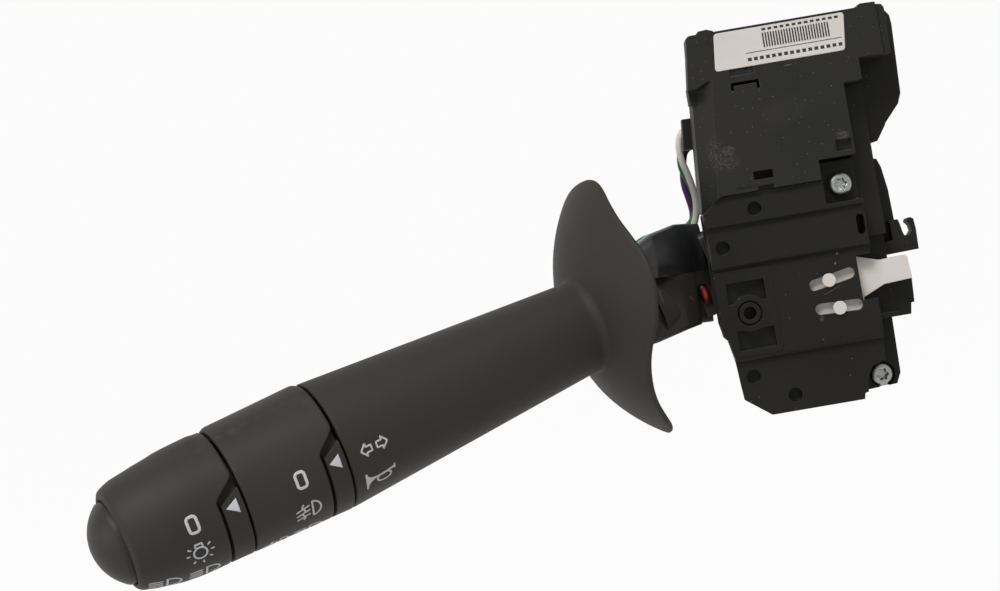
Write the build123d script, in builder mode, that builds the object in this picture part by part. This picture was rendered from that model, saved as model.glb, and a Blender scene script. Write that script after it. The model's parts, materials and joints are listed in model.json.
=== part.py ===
"""Combination stalk switch of a steering column: lights, fog lights, indicators and horn on one lever.

Frame: the flat back face that meets the column bracket is y = 0 and the fixing boss is on x = z = 0.
+Z runs up the long side of the housing, the lever points along -X, and the driver looks along +Y.
Millimetres. A depth is a distance from the back face towards the driver.
"""

import os
from math import cos, hypot, pi, radians, sin

from build123d import *

# Named clearances
running_gap = 0.05          # radial, shaft in its bearing
press_gap = 0.02            # pressed or moulded together
seat_gap = 0.05             # faces that rest on each other
part_gap = 0.3              # neighbours that never touch
groove_gap = 0.25           # half of the dark groove beside a ring

# Housing: depths
back_thickness = 6.0
upper_floor = 20.5
cover_depth = 32.0
front_step = 1.2
step_depths = [cover_depth - front_step * step for step in range(1, 5)]
skin_depth = step_depths[2] - 1.2
pocket_depth = step_depths[2] - 4.0
band_depth = 24.0
band_width = 4.8

# Cradle: it fills the depth between the rear bearing and the pocket's front wall
bearing_rise = 1.0
bearing_radius = 6.0
cradle_play = 0.7           # in front of the cradle
cradle_depth = pocket_depth - cradle_play - back_thickness - bearing_rise - part_gap
cradle_height = 20.8
cradle_wall = 2.7
cradle_half_length = 6.0
trunnion_radius = 2.5
trunnion_length = 2.2
pull_pin_radius = 1.5
tail_root = 3.0
tail_reach = 16.0
tail_ball = 2.0
pocket_play = 1.2
pocket_radius = hypot(cradle_half_length, cradle_height / 2) + pocket_play

# Lever geometry
droop = 14.62               # lever below the horizontal, degrees
lean = 20.43                # lever towards the driver, degrees
pivot_x, pivot_z = 0.4, 10.0
pivot_depth = pocket_depth - cradle_play - cradle_depth / 2
axis_rise = 2.6             # lever axis above the pivot
shroud_radius = 39.5
shroud_wall = 1.3
tube_lift = 0.9             # station zero of the tube above the shroud
pivot_to_tube = shroud_radius + tube_lift
indicator_throw = 8.0       # degrees each way
horn_travel = 2.0

pivot = Vector(pivot_x, -pivot_depth, pivot_z)
toward_tip = Vector(
    -cos(radians(droop)) * cos(radians(lean)),
    -sin(radians(lean)),
    -sin(radians(droop)) * cos(radians(lean)),
)
lever_up = Vector(-sin(radians(droop)), 0, cos(radians(droop)))
inward = Vector(cos(radians(droop)), 0, sin(radians(droop)))
tube_base = pivot + lever_up * axis_rise + toward_tip * pivot_to_tube

# Local frames. stalk: Z to the tip, X up, Y away from the driver. hinge: X into the housing, Z along the pull pin
stalk = Plane(origin=tube_base, x_dir=lever_up, z_dir=toward_tip)
stalk_side = Plane(origin=tube_base, x_dir=lever_up, z_dir=-stalk.y_dir)
hinge = Plane(origin=pivot, x_dir=inward, z_dir=lever_up)
section = Plane(origin=tube_base, x_dir=lever_up, z_dir=stalk.y_dir)

# Lever tube, rings and button: stations along the lever, and radii
tube_length = 61.4
tube_base_radius = 10.05
tube_end_radius = 13.75
tube_wall = 2.0
tube_fillet = 5.0           # between the tube and the shroud
fog_band_width = 4.4
fog_ring_length = 17.6
light_band_width = 4.8
light_ring_length = 19.2
light_ring_radius = 13.1
rim_radius = 10.3
ring_wall = 2.0
ring_hub_wall = 1.6
ring_web = 2.0
ring_shoulder = 0.7
band_step = 1.75            # how far the sleeve under a skirt lies below the ring's surface
skirt_wall = 1.35
marker_top = 86.0           # where the band's slanted edge starts on the tube side, degrees from the top
marker_end = 97.0           # and where it ends on the ring side
marker_far = 30.0           # the band runs this far past the bottom, on the side away from the driver
button_radius = 8.75
button_dome = 4.6
button_wall = 1.6
stem_radius = 4.4
spindle_radius = 7.5
spindle_bore = 3.2
contact_disc_thickness = 1.0
contact_disc_radius = 10.6
wiper_thickness = 0.6
clip_thickness = 0.8
clip_setback = 4.0          # the clip's groove from the spindle's end
clip_groove_radius = 6.6
clip_radius = 9.2
coil_wire = 0.7
coil_turns = 3

fog_band_at = tube_length
fog_ring_at = fog_band_at + fog_band_width
light_band_at = fog_ring_at + fog_ring_length
light_ring_at = light_band_at + light_band_width
rim_at = light_ring_at + light_ring_length
spindle_end = rim_at - 9.4
stem_seat = spindle_end - 7.0
clip_groove_at = spindle_end - clip_setback

# Arm and neck
block_play = 0.4
block_height = cradle_height - 2 * cradle_wall - 2 * block_play
block_thickness = 8.0
block_inner = 9.0
neck_from = 10.4            # from the pivot, along -X
neck_height = 22.0
neck_depth = 16.6
neck_corner = 4.0
neck_skin = 1.2
neck_split_z = 10.7
neck_end = -16.0            # station of the neck's second section
spigot_length = 14.0
spigot_from = -3.0
plunger_radius = 1.9
plunger_reach = 12.1
plunger_bore_end = 2.7
plunger_skirt = 5.2
pocket_half_height = max(cradle_height, neck_height) / 2 + 2.2

# Housing: outline, x to the right and z up, from the boss
case_left, case_right = -6.9, 27.6
case_top = 60.2
case_bottom = -22.35
left_draft = 2.6            # how far the left side slopes in towards the back
cover_bottom = 25.4
step_heights = [19.3, 10.4, -9.9]
band_top = 44.9
band_right = case_right + band_width
flange_right = case_right + 4.3
cover_wall = 1.6
cover_corner = -2.3         # where the cover's lower edge turns down round the case
corner_radius = 1.0
head_bottom = 49.7          # the cover widens over the socket above this height
head_right = case_right + 9.2
# The cover's left side slopes: x and z of its outer edge, and x of the bevel's front edge at the same heights
cover_left = [(-6.5, 22.3), (-4.6, 46.0), (-3.4, case_top)]
bevel_front = (-3.3, -0.1)
bevel_depth = 3.6

# Fixing boss, wells and screws
boss_bore_radius = 1.4
boss_bore_length = 3.6
boss_ring_radius = 2.7
boss_ring_width = 0.4
boss_radius = 3.9
boss_rise = 0.5
pad_rise = 0.3
well_radius = 1.5
well_depth = 1.8
wells = [(4.4, 21.8, step_depths[0]), (-3.5, 14.6, step_depths[1]),
         (-1.3, -13.6, step_depths[3]), (6.9, -18.9, step_depths[3])]
screw_radius = 1.5
screw_head_radius = 2.5
screw_head_height = 2.0
screw_socket_radius = 1.2
screw_places = [(23.95, 24.0, 27.5), (27.7, -18.4, 17.0)]
screw_length = 12.0
fixing_hole_radius = 1.6
fixing_hole_depth = 5.0
fixing_x = 19.0
fixing_heights = (-16.0, 40.0)

# Cancelling mechanism, behind the front skin
slider_thickness = 1.5
slider_travel = (-2.0, 3.0)
slot_width = 2.4
slot_length = 10.4
pin_radius = 0.6
pin_head_radius = 1.45
pin_head = 0.8
pawl_pivot = (21.0, 3.4)
pawl_thickness = 4.2
pawl_lift = 0.2             # between the pawl and the slider's plate
pawl_boss_radius = 3.6
pawl_stud_radius = 1.6
stud_overrun = 0.5
slider_front = skin_depth - part_gap
slider_back = slider_front - slider_thickness
pawl_front = slider_back - pawl_lift
pawl_back = pawl_front - pawl_thickness
pawl_floor = slider_back - pawl_thickness - stud_overrun - part_gap
switch_ceiling = pawl_floor - 0.8
pawl_room_left = pawl_pivot[0] + slider_travel[0] - pawl_boss_radius - part_gap

# Harness socket
socket_floor = 16.0
socket_back = 2.0
socket_front = upper_floor - 0.2
socket_x = (30.8, 39.4)
socket_z = (46.4, 58.6)
blade_inset = 2.3
blade_width, blade_thickness, blade_length = 1.8, 0.6, 7.5
blade_root = 2.5

wire_radius = 0.75
thin_wire_radius = 0.6


def slab(x_span, z_span, depth_span, mode=Mode.ADD, corner=0):
    """A block whose face looks at the driver, given by its spans in x, z and depth."""
    with BuildSketch(Plane.XZ.offset(depth_span[0])) as outline:
        with Locations(((x_span[0] + x_span[1]) / 2, (z_span[0] + z_span[1]) / 2)):
            if corner:
                RectangleRounded(x_span[1] - x_span[0], z_span[1] - z_span[0], corner)
            else:
                Rectangle(x_span[1] - x_span[0], z_span[1] - z_span[0])
    extrude(outline.sketch, amount=depth_span[1] - depth_span[0], mode=mode)


def plate(points, depth_span, mode=Mode.ADD, corner=0):
    """A straight-sided outline seen from the driver, given as x and z, pulled between two depths."""
    with BuildSketch(Plane.XZ.offset(depth_span[0])) as outline:
        with BuildLine():
            Polyline(*points, close=True)
        make_face()
        if corner:
            fillet(outline.vertices(), corner)
    extrude(outline.sketch, amount=depth_span[1] - depth_span[0], mode=mode)


def disc(centre, radius, depth_span, mode=Mode.ADD):
    """A round post or hole along the depth."""
    with BuildSketch(Plane.XZ.offset(depth_span[0])) as outline:
        with Locations(centre):
            Circle(radius)
    extrude(outline.sketch, amount=depth_span[1] - depth_span[0], mode=mode)


def turned(points, mode=Mode.ADD):
    """A turned shape about the lever's axis: points are radius and station along the lever."""
    with BuildSketch(section) as half:
        with BuildLine():
            Polyline(*[(radius, -station) for radius, station in points], close=True)
        make_face()
    revolve(half.sketch, axis=Axis(tube_base, toward_tip), mode=mode)


def tube_radius(station):
    """Outer radius of the lever's tube at a station."""
    return tube_base_radius + (tube_end_radius - tube_base_radius) * station / tube_length


def ring_radius(station):
    """Outer radius of the rings, which taper slightly towards the light ring."""
    share = (station - fog_band_at) / (light_ring_at - fog_band_at)
    return tube_end_radius + (light_ring_radius - tube_end_radius) * share


def sloped_block(front_points, back_points, depth_span):
    """A block between an outline at the back depth and one at the front depth, with as many corners."""
    with BuildSketch(Plane.XZ.offset(depth_span[0])) as back_outline:
        with BuildLine():
            Polyline(*back_points, close=True)
        make_face()
    with BuildSketch(Plane.XZ.offset(depth_span[1])) as front_outline:
        with BuildLine():
            Polyline(*front_points, close=True)
        make_face()
    loft([back_outline.sketch, front_outline.sketch], ruled=True)


# Housing, main moulding with its four stepped front levels
lower_outline = [(case_left, cover_bottom), (case_left, -1), (-6.3, -4.2), (-5.5, -5.1), (-4.7, -9.2), (-4.4, -14.3),
                 (-4.1, -18.2), (1.3, case_bottom), (21.4, case_bottom), (21.7, -21.1), (22.5, -20.9),
                 (22.7, -18.2), (24.2, -15.6), (27.2, -14.8), (case_right, -6), (case_right, cover_bottom)]
drafted_outline = [(x + left_draft if x < 5 else x, z) for x, z in lower_outline]
upper_case_left = [(-4.7, cover_bottom - 1), (-1.4, case_top)]
with BuildPart() as case_body:
    sloped_block(lower_outline, drafted_outline, (back_thickness, step_depths[3]))
    for bottom, front in zip(step_heights, step_depths):
        with BuildSketch(Plane.XZ.offset(step_depths[3] - 1)) as level:
            with BuildLine():
                Polyline(*[(max(x, case_left + 0.3), z) for x, z in lower_outline], close=True)
            make_face()
            with Locations((0, (bottom + cover_bottom) / 2)):
                Rectangle(4 * case_right, cover_bottom - bottom, mode=Mode.INTERSECT)
        extrude(level.sketch, amount=front - step_depths[3] + 1)
    plate([upper_case_left[0], upper_case_left[1], (case_right, case_top), (case_right, cover_bottom - 1)],
          (back_thickness, upper_floor), corner=corner_radius)
    plate([upper_case_left[0], (-4.5, cover_bottom + 3), (case_right, cover_bottom + 3), (case_right, cover_bottom - 1)],
          (back_thickness, upper_floor))
    # Set-back band on the column side, and the low flange beside it
    slab((case_right - 1, band_right), (-6, band_top), (back_thickness, upper_floor))
    slab((case_right - 1, band_right), (-6, cover_bottom), (back_thickness, band_depth))
    slab((case_right + seat_gap, band_right), (cover_bottom - 1, band_top), (back_thickness, band_depth))
    plate([(band_right - 0.5, 29), (band_right + 2.1, 28.4), (band_right + 2.8, 26.5), (band_right + 3.5, 21.3),
           (band_right + 3.7, 14.1), (band_right + 3.3, 7.6), (band_right - 0.5, 7.6)], (13, 16))
    # Flange for the lower screw, and the shelf under the cancelling nose
    plate([(20, -6), (flange_right, -6), (flange_right - 0.2, -18.6), (flange_right - 1.3, -20.9), (24.0, -21.2),
           (20, -21)], (back_thickness, screw_places[1][2]))
    plate([(case_right - 1, 1.4), (band_right + 4.7, 1.4), (band_right + 4.4, -3.8), (band_right + 3.7, -3.9),
           (band_right + 3.3, -6.3), (case_right - 1, -6.3)], (10, 19.6))
    # Wire clip on the column side
    plate([(band_right - 0.5, 7.2), (band_right + 7.3, 7.4), (band_right + 7.4, 11.9), (band_right + 7.2, 14.1),
           (band_right + 6.6, 14.5), (band_right + 5.9, 14.3), (band_right + 5.6, 13.7), (band_right + 6.3, 12.8),
           (band_right + 6.5, 11.7), (band_right + 5.8, 10.8), (band_right + 4.7, 10.8), (band_right + 4.4, 11.7),
           (band_right + 4.1, 13.5), (band_right + 3.8, 14.5), (band_right + 2.0, 14.6), (band_right + 2.0, 10.2),
           (band_right - 0.5, 10.0)], (15.5, 19.5))
    # Thin guard tab over the wires' outlet
    plate([(-6.4, 43.9), (-2, 43.8), (-2, 37.0), (-7.1, 37.2)], (15.5, 18.5))
    # Pocket of the cradle, open to the left for the neck
    disc((pivot_x, pivot_z), pocket_radius, (back_thickness, pocket_depth), mode=Mode.SUBTRACT)
    slab((case_left - 2, -5), (pivot_z - pocket_half_height, pivot_z + pocket_half_height),
         (back_thickness, pocket_depth), mode=Mode.SUBTRACT)
    slab((-6, -1.5), (pivot_z - pocket_half_height + 1.5, pivot_z + pocket_half_height - 1.5),
         (back_thickness, pocket_depth), mode=Mode.SUBTRACT)
    disc((pivot_x, pivot_z), trunnion_radius + running_gap, (pocket_depth - 1, pocket_depth + trunnion_length),
         mode=Mode.SUBTRACT)
    # Corner that the cover wraps round
    plate([(case_left - 1, 22.2), (cover_left[0][0] - 0.1, 22.2), (cover_corner - 0.1, cover_bottom - 0.05),
           (cover_corner - 0.1, cover_bottom + 1), (case_left - 1, cover_bottom + 1)],
          (upper_floor, cover_depth), mode=Mode.SUBTRACT)
    # Room for the detent cam and the contact slider
    slab((10.5, 25.6), (-2.5, 22.5), (back_thickness, switch_ceiling), mode=Mode.SUBTRACT)
    # Room for the cancelling slider under the front skin, and for the pawl behind it
    slab((11.5, case_right + 1), (-5.5, 8.7), (slider_back - part_gap, skin_depth), mode=Mode.SUBTRACT)
    slab((pawl_room_left, band_right + 1), (-5.0, 12.0), (pawl_floor, slider_back), mode=Mode.SUBTRACT)
    slab((24.4, band_right + 1), (-1.4, 8.3), (skin_depth - 1, cover_depth), mode=Mode.SUBTRACT)
    for x, z, slant in ((18.6, 4.2, 10), (19.15, -1.9, -2)):
        with BuildSketch(Plane.XZ.offset(skin_depth - 0.5)) as slot:
            with Locations((x, z)):
                SlotOverall(slot_length, slot_width, rotation=slant)
        extrude(slot.sketch, amount=3, mode=Mode.SUBTRACT)
    # Low pad with the fixing boss between two curved windows
    plate([(-6.3, 9.6), (-6.3, -1.4), (-5.0, -5.8), (-4.3, -9.0), (5.8, -9.0), (5.8, 9.6)],
          (step_depths[2] - 1, step_depths[2] + pad_rise), corner=1.0)
    slab((-4.2, 4.0), (2.4, 6.9), (step_depths[2] - well_depth, cover_depth), mode=Mode.SUBTRACT)
    slab((-3.4, 4.6), (-7.8, -3.4), (step_depths[2] - well_depth, cover_depth), mode=Mode.SUBTRACT)
    disc((0, 0), boss_radius, (step_depths[2] - 2, step_depths[2] + boss_rise))
    with BuildSketch(Plane.XZ.offset(step_depths[2] + boss_rise)) as ring_groove:
        Circle(boss_ring_radius)
        Circle(boss_ring_radius - boss_ring_width, mode=Mode.SUBTRACT)
    extrude(ring_groove.sketch, amount=-1.2, mode=Mode.SUBTRACT)
    disc((0, 0), boss_bore_radius, (step_depths[2] + boss_rise - boss_bore_length, cover_depth), mode=Mode.SUBTRACT)
    # Moulding wells, the oval pocket and the screw recesses
    for x, z, front in wells:
        disc((x, z), well_radius, (front - well_depth, front + 1), mode=Mode.SUBTRACT)
    with BuildSketch(Plane.XZ.offset(24.6)) as oval:
        with Locations((26.4, 14.8)):
            SlotOverall(4.4, 1.7, rotation=90)
    extrude(oval.sketch, amount=9, mode=Mode.SUBTRACT)
    recess_x, recess_z = (19.7, case_right + 1), (20.1, 29.4)
    screw_floor = screw_places[0][2] - screw_head_height
    slab(recess_x, recess_z, (screw_places[0][2] - 1, cover_depth + 1), mode=Mode.SUBTRACT)
    slab((recess_x[0] + 0.2, case_right), (cover_bottom - 1, recess_z[1] - 0.2), (upper_floor - 1, screw_floor))
    slab(recess_x, recess_z, (screw_floor, cover_depth), mode=Mode.SUBTRACT, corner=2.4)
    for x, z, head in screw_places:
        disc((x, z), screw_radius + press_gap, (head - screw_head_height - screw_length, cover_depth),
             mode=Mode.SUBTRACT)
    disc(screw_places[1][:2], screw_head_radius + part_gap,
         (screw_places[1][2] - screw_head_height, cover_depth), mode=Mode.SUBTRACT)
    # Outlet for the wires at the left, above the neck
    with Locations((-4.5, -10.6, 40.6)):
        Box(9, 6.8, 7.2, mode=Mode.SUBTRACT)
case_body.part.label = "case_body"

# Clip-on cover over the contact board
with BuildPart() as top_cover:
    cover_outline = [cover_left[0], cover_left[1], cover_left[2], (head_right - 4.0, case_top),
                     (head_right - 3.4, case_top + 0.7), (head_right, case_top + 0.6), (head_right, head_bottom),
                     (case_right + 3.8, head_bottom), (case_right + 3.8, band_top + 0.1),
                     (case_right - 0.2, band_top + 0.1), (case_right - 0.2, recess_z[1] + part_gap),
                     (recess_x[0] - part_gap, recess_z[1] + part_gap),
                     (recess_x[0] - part_gap, cover_bottom + seat_gap), (cover_corner, cover_bottom + seat_gap)]
    plate(cover_outline, (upper_floor + seat_gap, cover_depth), corner=0.3)
    slab((cover_left[2][0] + cover_wall, case_right - cover_wall), (recess_z[1] + 2, case_top - cover_wall),
         (upper_floor - 1, cover_depth - cover_wall), mode=Mode.SUBTRACT)
    # Bevelled left side, sloping like the cover's edge
    bevels = []
    for (edge, height), front_edge in zip(((-6.6, 21.0), (-4.2, 50.0)), bevel_front):
        with BuildSketch(Plane.XY.offset(height)) as bevel:
            with BuildLine():
                Polyline((edge - 2, -cover_depth - 1), (front_edge, -cover_depth - 1), (front_edge, -cover_depth),
                         (edge - 0.02, -cover_depth + bevel_depth), (edge - 2, -cover_depth + bevel_depth), close=True)
            make_face()
        bevels.append(bevel.sketch)
    loft(bevels, ruled=True, mode=Mode.SUBTRACT)
    # Head lug at the left of the label, with its sloping underside
    plate([(-5.4, 48.8), (-4.0, 59.7), (-3.5, 60.1), (-1.8, 60.2), (-1.2, 60.8), (0.6, 60.9), (1.9, 60.4), (1.9, 49.0),
           (-0.8, 50.1), (-4.0, 48.7)], (cover_depth - 4, cover_depth))
    plate([(-5.2, 45.9), (-2.4, 45.9), (-1.0, 49.8), (-5.2, 49.4)], (cover_depth - 7, cover_depth - 2.6))
    # Lower edge strip at the head's right end, over the socket
    plate([(head_right - 1, head_bottom), (head_right + 1.8, head_bottom), (head_right + 2.0, 58), (head_right + 1.9, 59.5),
           (head_right + 1.4, 60.2), (head_right - 1, 60.6)], (upper_floor + seat_gap, cover_depth - 1.2))
    # Snap tongue slit, shallow relief under the label, snap window, notch and dimple
    slab((3.7, 9.8), (48.1, 48.8), (cover_depth - 2.5, cover_depth + 1), mode=Mode.SUBTRACT)
    slab((3.7, 4.3), (46.9, 48.5), (cover_depth - 2.5, cover_depth + 1), mode=Mode.SUBTRACT)
    slab((9.2, 9.8), (46.9, 48.5), (cover_depth - 2.5, cover_depth + 1), mode=Mode.SUBTRACT)
    slab((3.9, 9.1), (50.2, 52.4), (cover_depth - 0.5, cover_depth + 1), mode=Mode.SUBTRACT)
    slab((5.3, 9.5), (27.7, 29.5), (cover_depth - 3.5, cover_depth + 1), mode=Mode.SUBTRACT)
    slab((5.8, 9.2), (cover_bottom - 1, 26.4), (cover_depth - 1.5, cover_depth + 1), mode=Mode.SUBTRACT)
    slab((23.6, 27.0), (30.8, 33.2), (cover_depth - 1.2, cover_depth + 1), mode=Mode.SUBTRACT)
top_cover.part.label = "top_cover"

# Rear plate: flat mounting face, hollow towards the case
plate_outline = [(-1.0, case_top), (-3.9, cover_bottom), (-3.9, -1), (-1.9, -8), (-1.3, -18), (4.1, case_bottom),
                 (21.4, case_bottom), (flange_right - 1.3, -20.9), (flange_right - 0.2, -18.6), (band_right, -5),
                 (band_right, band_top), (case_right, band_top), (case_right, case_top)]
with BuildPart() as back_plate:
    plate(plate_outline, (0, back_thickness - seat_gap), corner=0.8)
    with BuildSketch(Plane.XZ.offset(2.2)) as hollow:
        with BuildLine():
            Polyline(*plate_outline, close=True)
        make_face()
        offset(amount=-1.8, kind=Kind.INTERSECTION, mode=Mode.REPLACE)
        with Locations((pivot_x, pivot_z)):
            Circle(bearing_radius, mode=Mode.SUBTRACT)
        with Locations(*[(fixing_x, height) for height in fixing_heights]):
            Circle(fixing_hole_radius + 2, mode=Mode.SUBTRACT)
        with Locations(*[(x, z) for x, z, head in screw_places]):
            Circle(screw_radius + 2, mode=Mode.SUBTRACT)
        with Locations((10.4, case_bottom + 14), (10.4, 28), (10.4, 50)):
            Rectangle(60, 1.6, mode=Mode.SUBTRACT)
    extrude(hollow.sketch, amount=back_thickness, mode=Mode.SUBTRACT)
    disc((pivot_x, pivot_z), bearing_radius, (back_thickness - 1, pivot_depth - cradle_depth / 2 - part_gap))
    disc((pivot_x, pivot_z), trunnion_radius + running_gap,
         (pivot_depth - cradle_depth / 2 - trunnion_length - part_gap, back_thickness + 3), mode=Mode.SUBTRACT)
    for height in fixing_heights:
        disc((fixing_x, height), fixing_hole_radius, (-1, fixing_hole_depth), mode=Mode.SUBTRACT)
    for x, z, head in screw_places:
        disc((x, z), screw_radius + press_gap,
             (max(2.0, head - screw_head_height - screw_length), back_thickness + 1), mode=Mode.SUBTRACT)
back_plate.part.label = "back_plate"

# Socket shell for the harness plug, opening to the back
blade_places = [(x, z) for x in (socket_x[0] + blade_inset, socket_x[1] - blade_inset)
                for z in (48.2, 51.2, 54.2, 57.2)]
with BuildPart() as socket_shell:
    plate([(case_right + seat_gap, case_top), (40.6, case_top), (41.7, 58.6), (41.9, 56.7), (41.3, 41.5), (40.4, 39.3),
           (37.0, 35.6), (36.7, 35.0), (34.6, 32), (band_right + seat_gap, 32), (band_right + seat_gap, band_top + 0.1),
           (case_right + seat_gap, band_top + 0.1)],
          (socket_back, socket_front), corner=0.4)
    slab(socket_x, socket_z, (0, socket_floor), mode=Mode.SUBTRACT, corner=0.6)
    slab((socket_x[0] + 4.8, socket_x[1] - 0.6), (41.5, 44.6), (0, 14), mode=Mode.SUBTRACT, corner=0.4)
    for place in blade_places:
        slab((place[0] - blade_thickness / 2 - press_gap, place[0] + blade_thickness / 2 + press_gap),
             (place[1] - blade_width / 2 - press_gap, place[1] + blade_width / 2 + press_gap),
             (socket_floor - 1, socket_floor + blade_root), mode=Mode.SUBTRACT)
socket_shell.part.label = "socket_shell"

with BuildPart() as terminal_blades:
    for place in blade_places:
        slab((place[0] - blade_thickness / 2, place[0] + blade_thickness / 2),
             (place[1] - blade_width / 2, place[1] + blade_width / 2),
             (socket_floor + blade_root - press_gap - blade_length, socket_floor + blade_root - press_gap))
terminal_blades.part.label = "terminal_blades"

# Contact board under the cover, with its tracks
with BuildPart() as contact_board:
    slab((cover_left[2][0] + cover_wall + part_gap, 25.4), (31.8, 58.0), (upper_floor + seat_gap, upper_floor + 1.6))
    for x in (2, 22):
        disc((x, 34), 1.2, (upper_floor - 1, upper_floor + 3), mode=Mode.SUBTRACT)
contact_board.part.label = "contact_board"

with BuildPart() as board_tracks:
    for row in range(6):
        slab((0.5, 21.5), (37.5 + 3 * row, 38.9 + 3 * row),
             (upper_floor + 1.6 + press_gap, upper_floor + 2.1))
board_tracks.part.label = "board_tracks"

# The two housing screws share one node
with BuildPart() as case_screws:
    for x, z, head in screw_places:
        disc((x, z), screw_head_radius - 0.05, (head - screw_head_height + seat_gap, head))
        disc((x, z), screw_radius, (head - screw_head_height - screw_length + 1, head - 0.5))
        with BuildSketch(Plane.XZ.offset(head)) as socket:
            with Locations((x, z)):
                Circle(screw_socket_radius)
                with PolarLocations(screw_socket_radius * 0.95, 6):
                    Circle(0.32)
        extrude(socket.sketch, amount=-1.2, mode=Mode.SUBTRACT)
case_screws.part.label = "case_screws"

# Detent cam: a concave face round the pivot, with a valley for each lever position
cam_gap = 0.25
with BuildPart() as detent_cam:
    slab((10.6, 17.6), (7.6, 18.4), (pivot_depth - 4.1, switch_ceiling - seat_gap))
    disc((pivot_x, pivot_z), plunger_reach + cam_gap, (back_thickness, cover_depth), mode=Mode.SUBTRACT)
    for turn in (-indicator_throw, 0, indicator_throw):
        angle = radians(droop + turn)
        disc((pivot_x + (plunger_reach - 0.6) * cos(angle), pivot_z + (plunger_reach - 0.6) * sin(angle)),
             1.3, (back_thickness, cover_depth), mode=Mode.SUBTRACT)
detent_cam.part.label = "detent_cam"

# Contact slider, driven up and down by the cradle's tail, with its bridging springs
with BuildPart() as contact_slider:
    slab((14.0, 21.0), (2.6, 17.4), (back_thickness + 0.2, 10.6), corner=0.6)
    slab((13.0, pivot_x + tail_reach + tail_ball + 0.3),
         (pivot_z - tail_ball - running_gap, pivot_z + tail_ball + running_gap), (0, 12), mode=Mode.SUBTRACT)
contact_slider.part.label = "contact_slider"

with BuildPart() as contact_springs:
    for height in (4.4, 13.4):
        plate([(21.0 + press_gap, height), (22.6, height + 0.6), (22.6, height + 1.6), (21.0 + press_gap, height + 2.2),
               (21.0 + press_gap, height + 1.7), (22.1, height + 1.3), (22.1, height + 0.9),
               (21.0 + press_gap, height + 0.5)], (7.0, 9.6))
contact_springs.part.label = "contact_springs"

with BuildPart() as fixed_contacts:
    for depth in (6.6, 8.6):
        slab((23.0, 25.5), (0.0, 20.0), (depth, depth + 1.2))
fixed_contacts.part.label = "fixed_contacts"

# Cradle: an open frame that swings on two trunnions and carries the arm on the pull pin
with BuildPart() as cradle:
    with BuildSketch(Plane(origin=pivot - inward * cradle_half_length, x_dir=(0, 1, 0), z_dir=inward)) as frame:
        RectangleRounded(cradle_depth, cradle_height, 1.6)
        RectangleRounded(cradle_depth - 2 * cradle_wall, cradle_height - 2 * cradle_wall, 1.0, mode=Mode.SUBTRACT)
    extrude(frame.sketch, amount=2 * cradle_half_length)
    disc((pivot_x, pivot_z), trunnion_radius,
         (pivot_depth + cradle_depth / 2 - 0.5, pocket_depth + trunnion_length - part_gap))
    disc((pivot_x, pivot_z), trunnion_radius,
         (pivot_depth - cradle_depth / 2 - trunnion_length, pivot_depth - cradle_depth / 2 + 0.5))
    plate([(pivot_x + tail_root, pivot_z - 1.6), (pivot_x + tail_reach, pivot_z - 1.0),
           (pivot_x + tail_reach, pivot_z + 1.0), (pivot_x + tail_root, pivot_z + 1.6)],
          (pivot_depth - cradle_depth / 2, pivot_depth - cradle_depth / 2 + cradle_wall))
    disc((pivot_x + tail_reach, pivot_z), tail_ball,
         (pivot_depth - cradle_depth / 2, pivot_depth - cradle_depth / 2 + cradle_wall))
    with BuildSketch(hinge.offset(-cradle_height)) as pin_bore:
        Circle(pull_pin_radius + press_gap)
    extrude(pin_bore.sketch, amount=2 * cradle_height, mode=Mode.SUBTRACT)
cradle.part.label = "cradle"

with BuildPart() as pull_pin:
    with BuildSketch(hinge.offset(-cradle_height / 2 + 0.3)):
        Circle(pull_pin_radius)
    extrude(amount=cradle_height - 0.6)
    chamfer(pull_pin.edges().filter_by(GeomType.CIRCLE), 0.3)
pull_pin.part.label = "pull_pin"


def neck_sections(inset):
    """The neck's two sections: upright at the housing, square to the lever behind the shroud."""
    near_plane = Plane(origin=(pivot_x - neck_from, -pivot_depth, pivot_z + 0.5), x_dir=(0, 1, 0), z_dir=(-1, 0, 0))
    far_plane = Plane(origin=tube_base + toward_tip * neck_end - lever_up * 0.1, x_dir=stalk.y_dir,
                      z_dir=toward_tip)
    with BuildSketch(near_plane) as near:
        RectangleRounded(neck_depth - 2 * inset, neck_height - 2 * inset, neck_corner)
    with BuildSketch(far_plane) as far:
        RectangleRounded(neck_depth - 2 * inset, neck_height - 2.8 - 2 * inset, neck_corner + 1)
    return near.sketch, far.sketch


def inner_radius(station):
    """Inner radius of the lever's tube."""
    return tube_radius(station) - tube_wall


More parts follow.
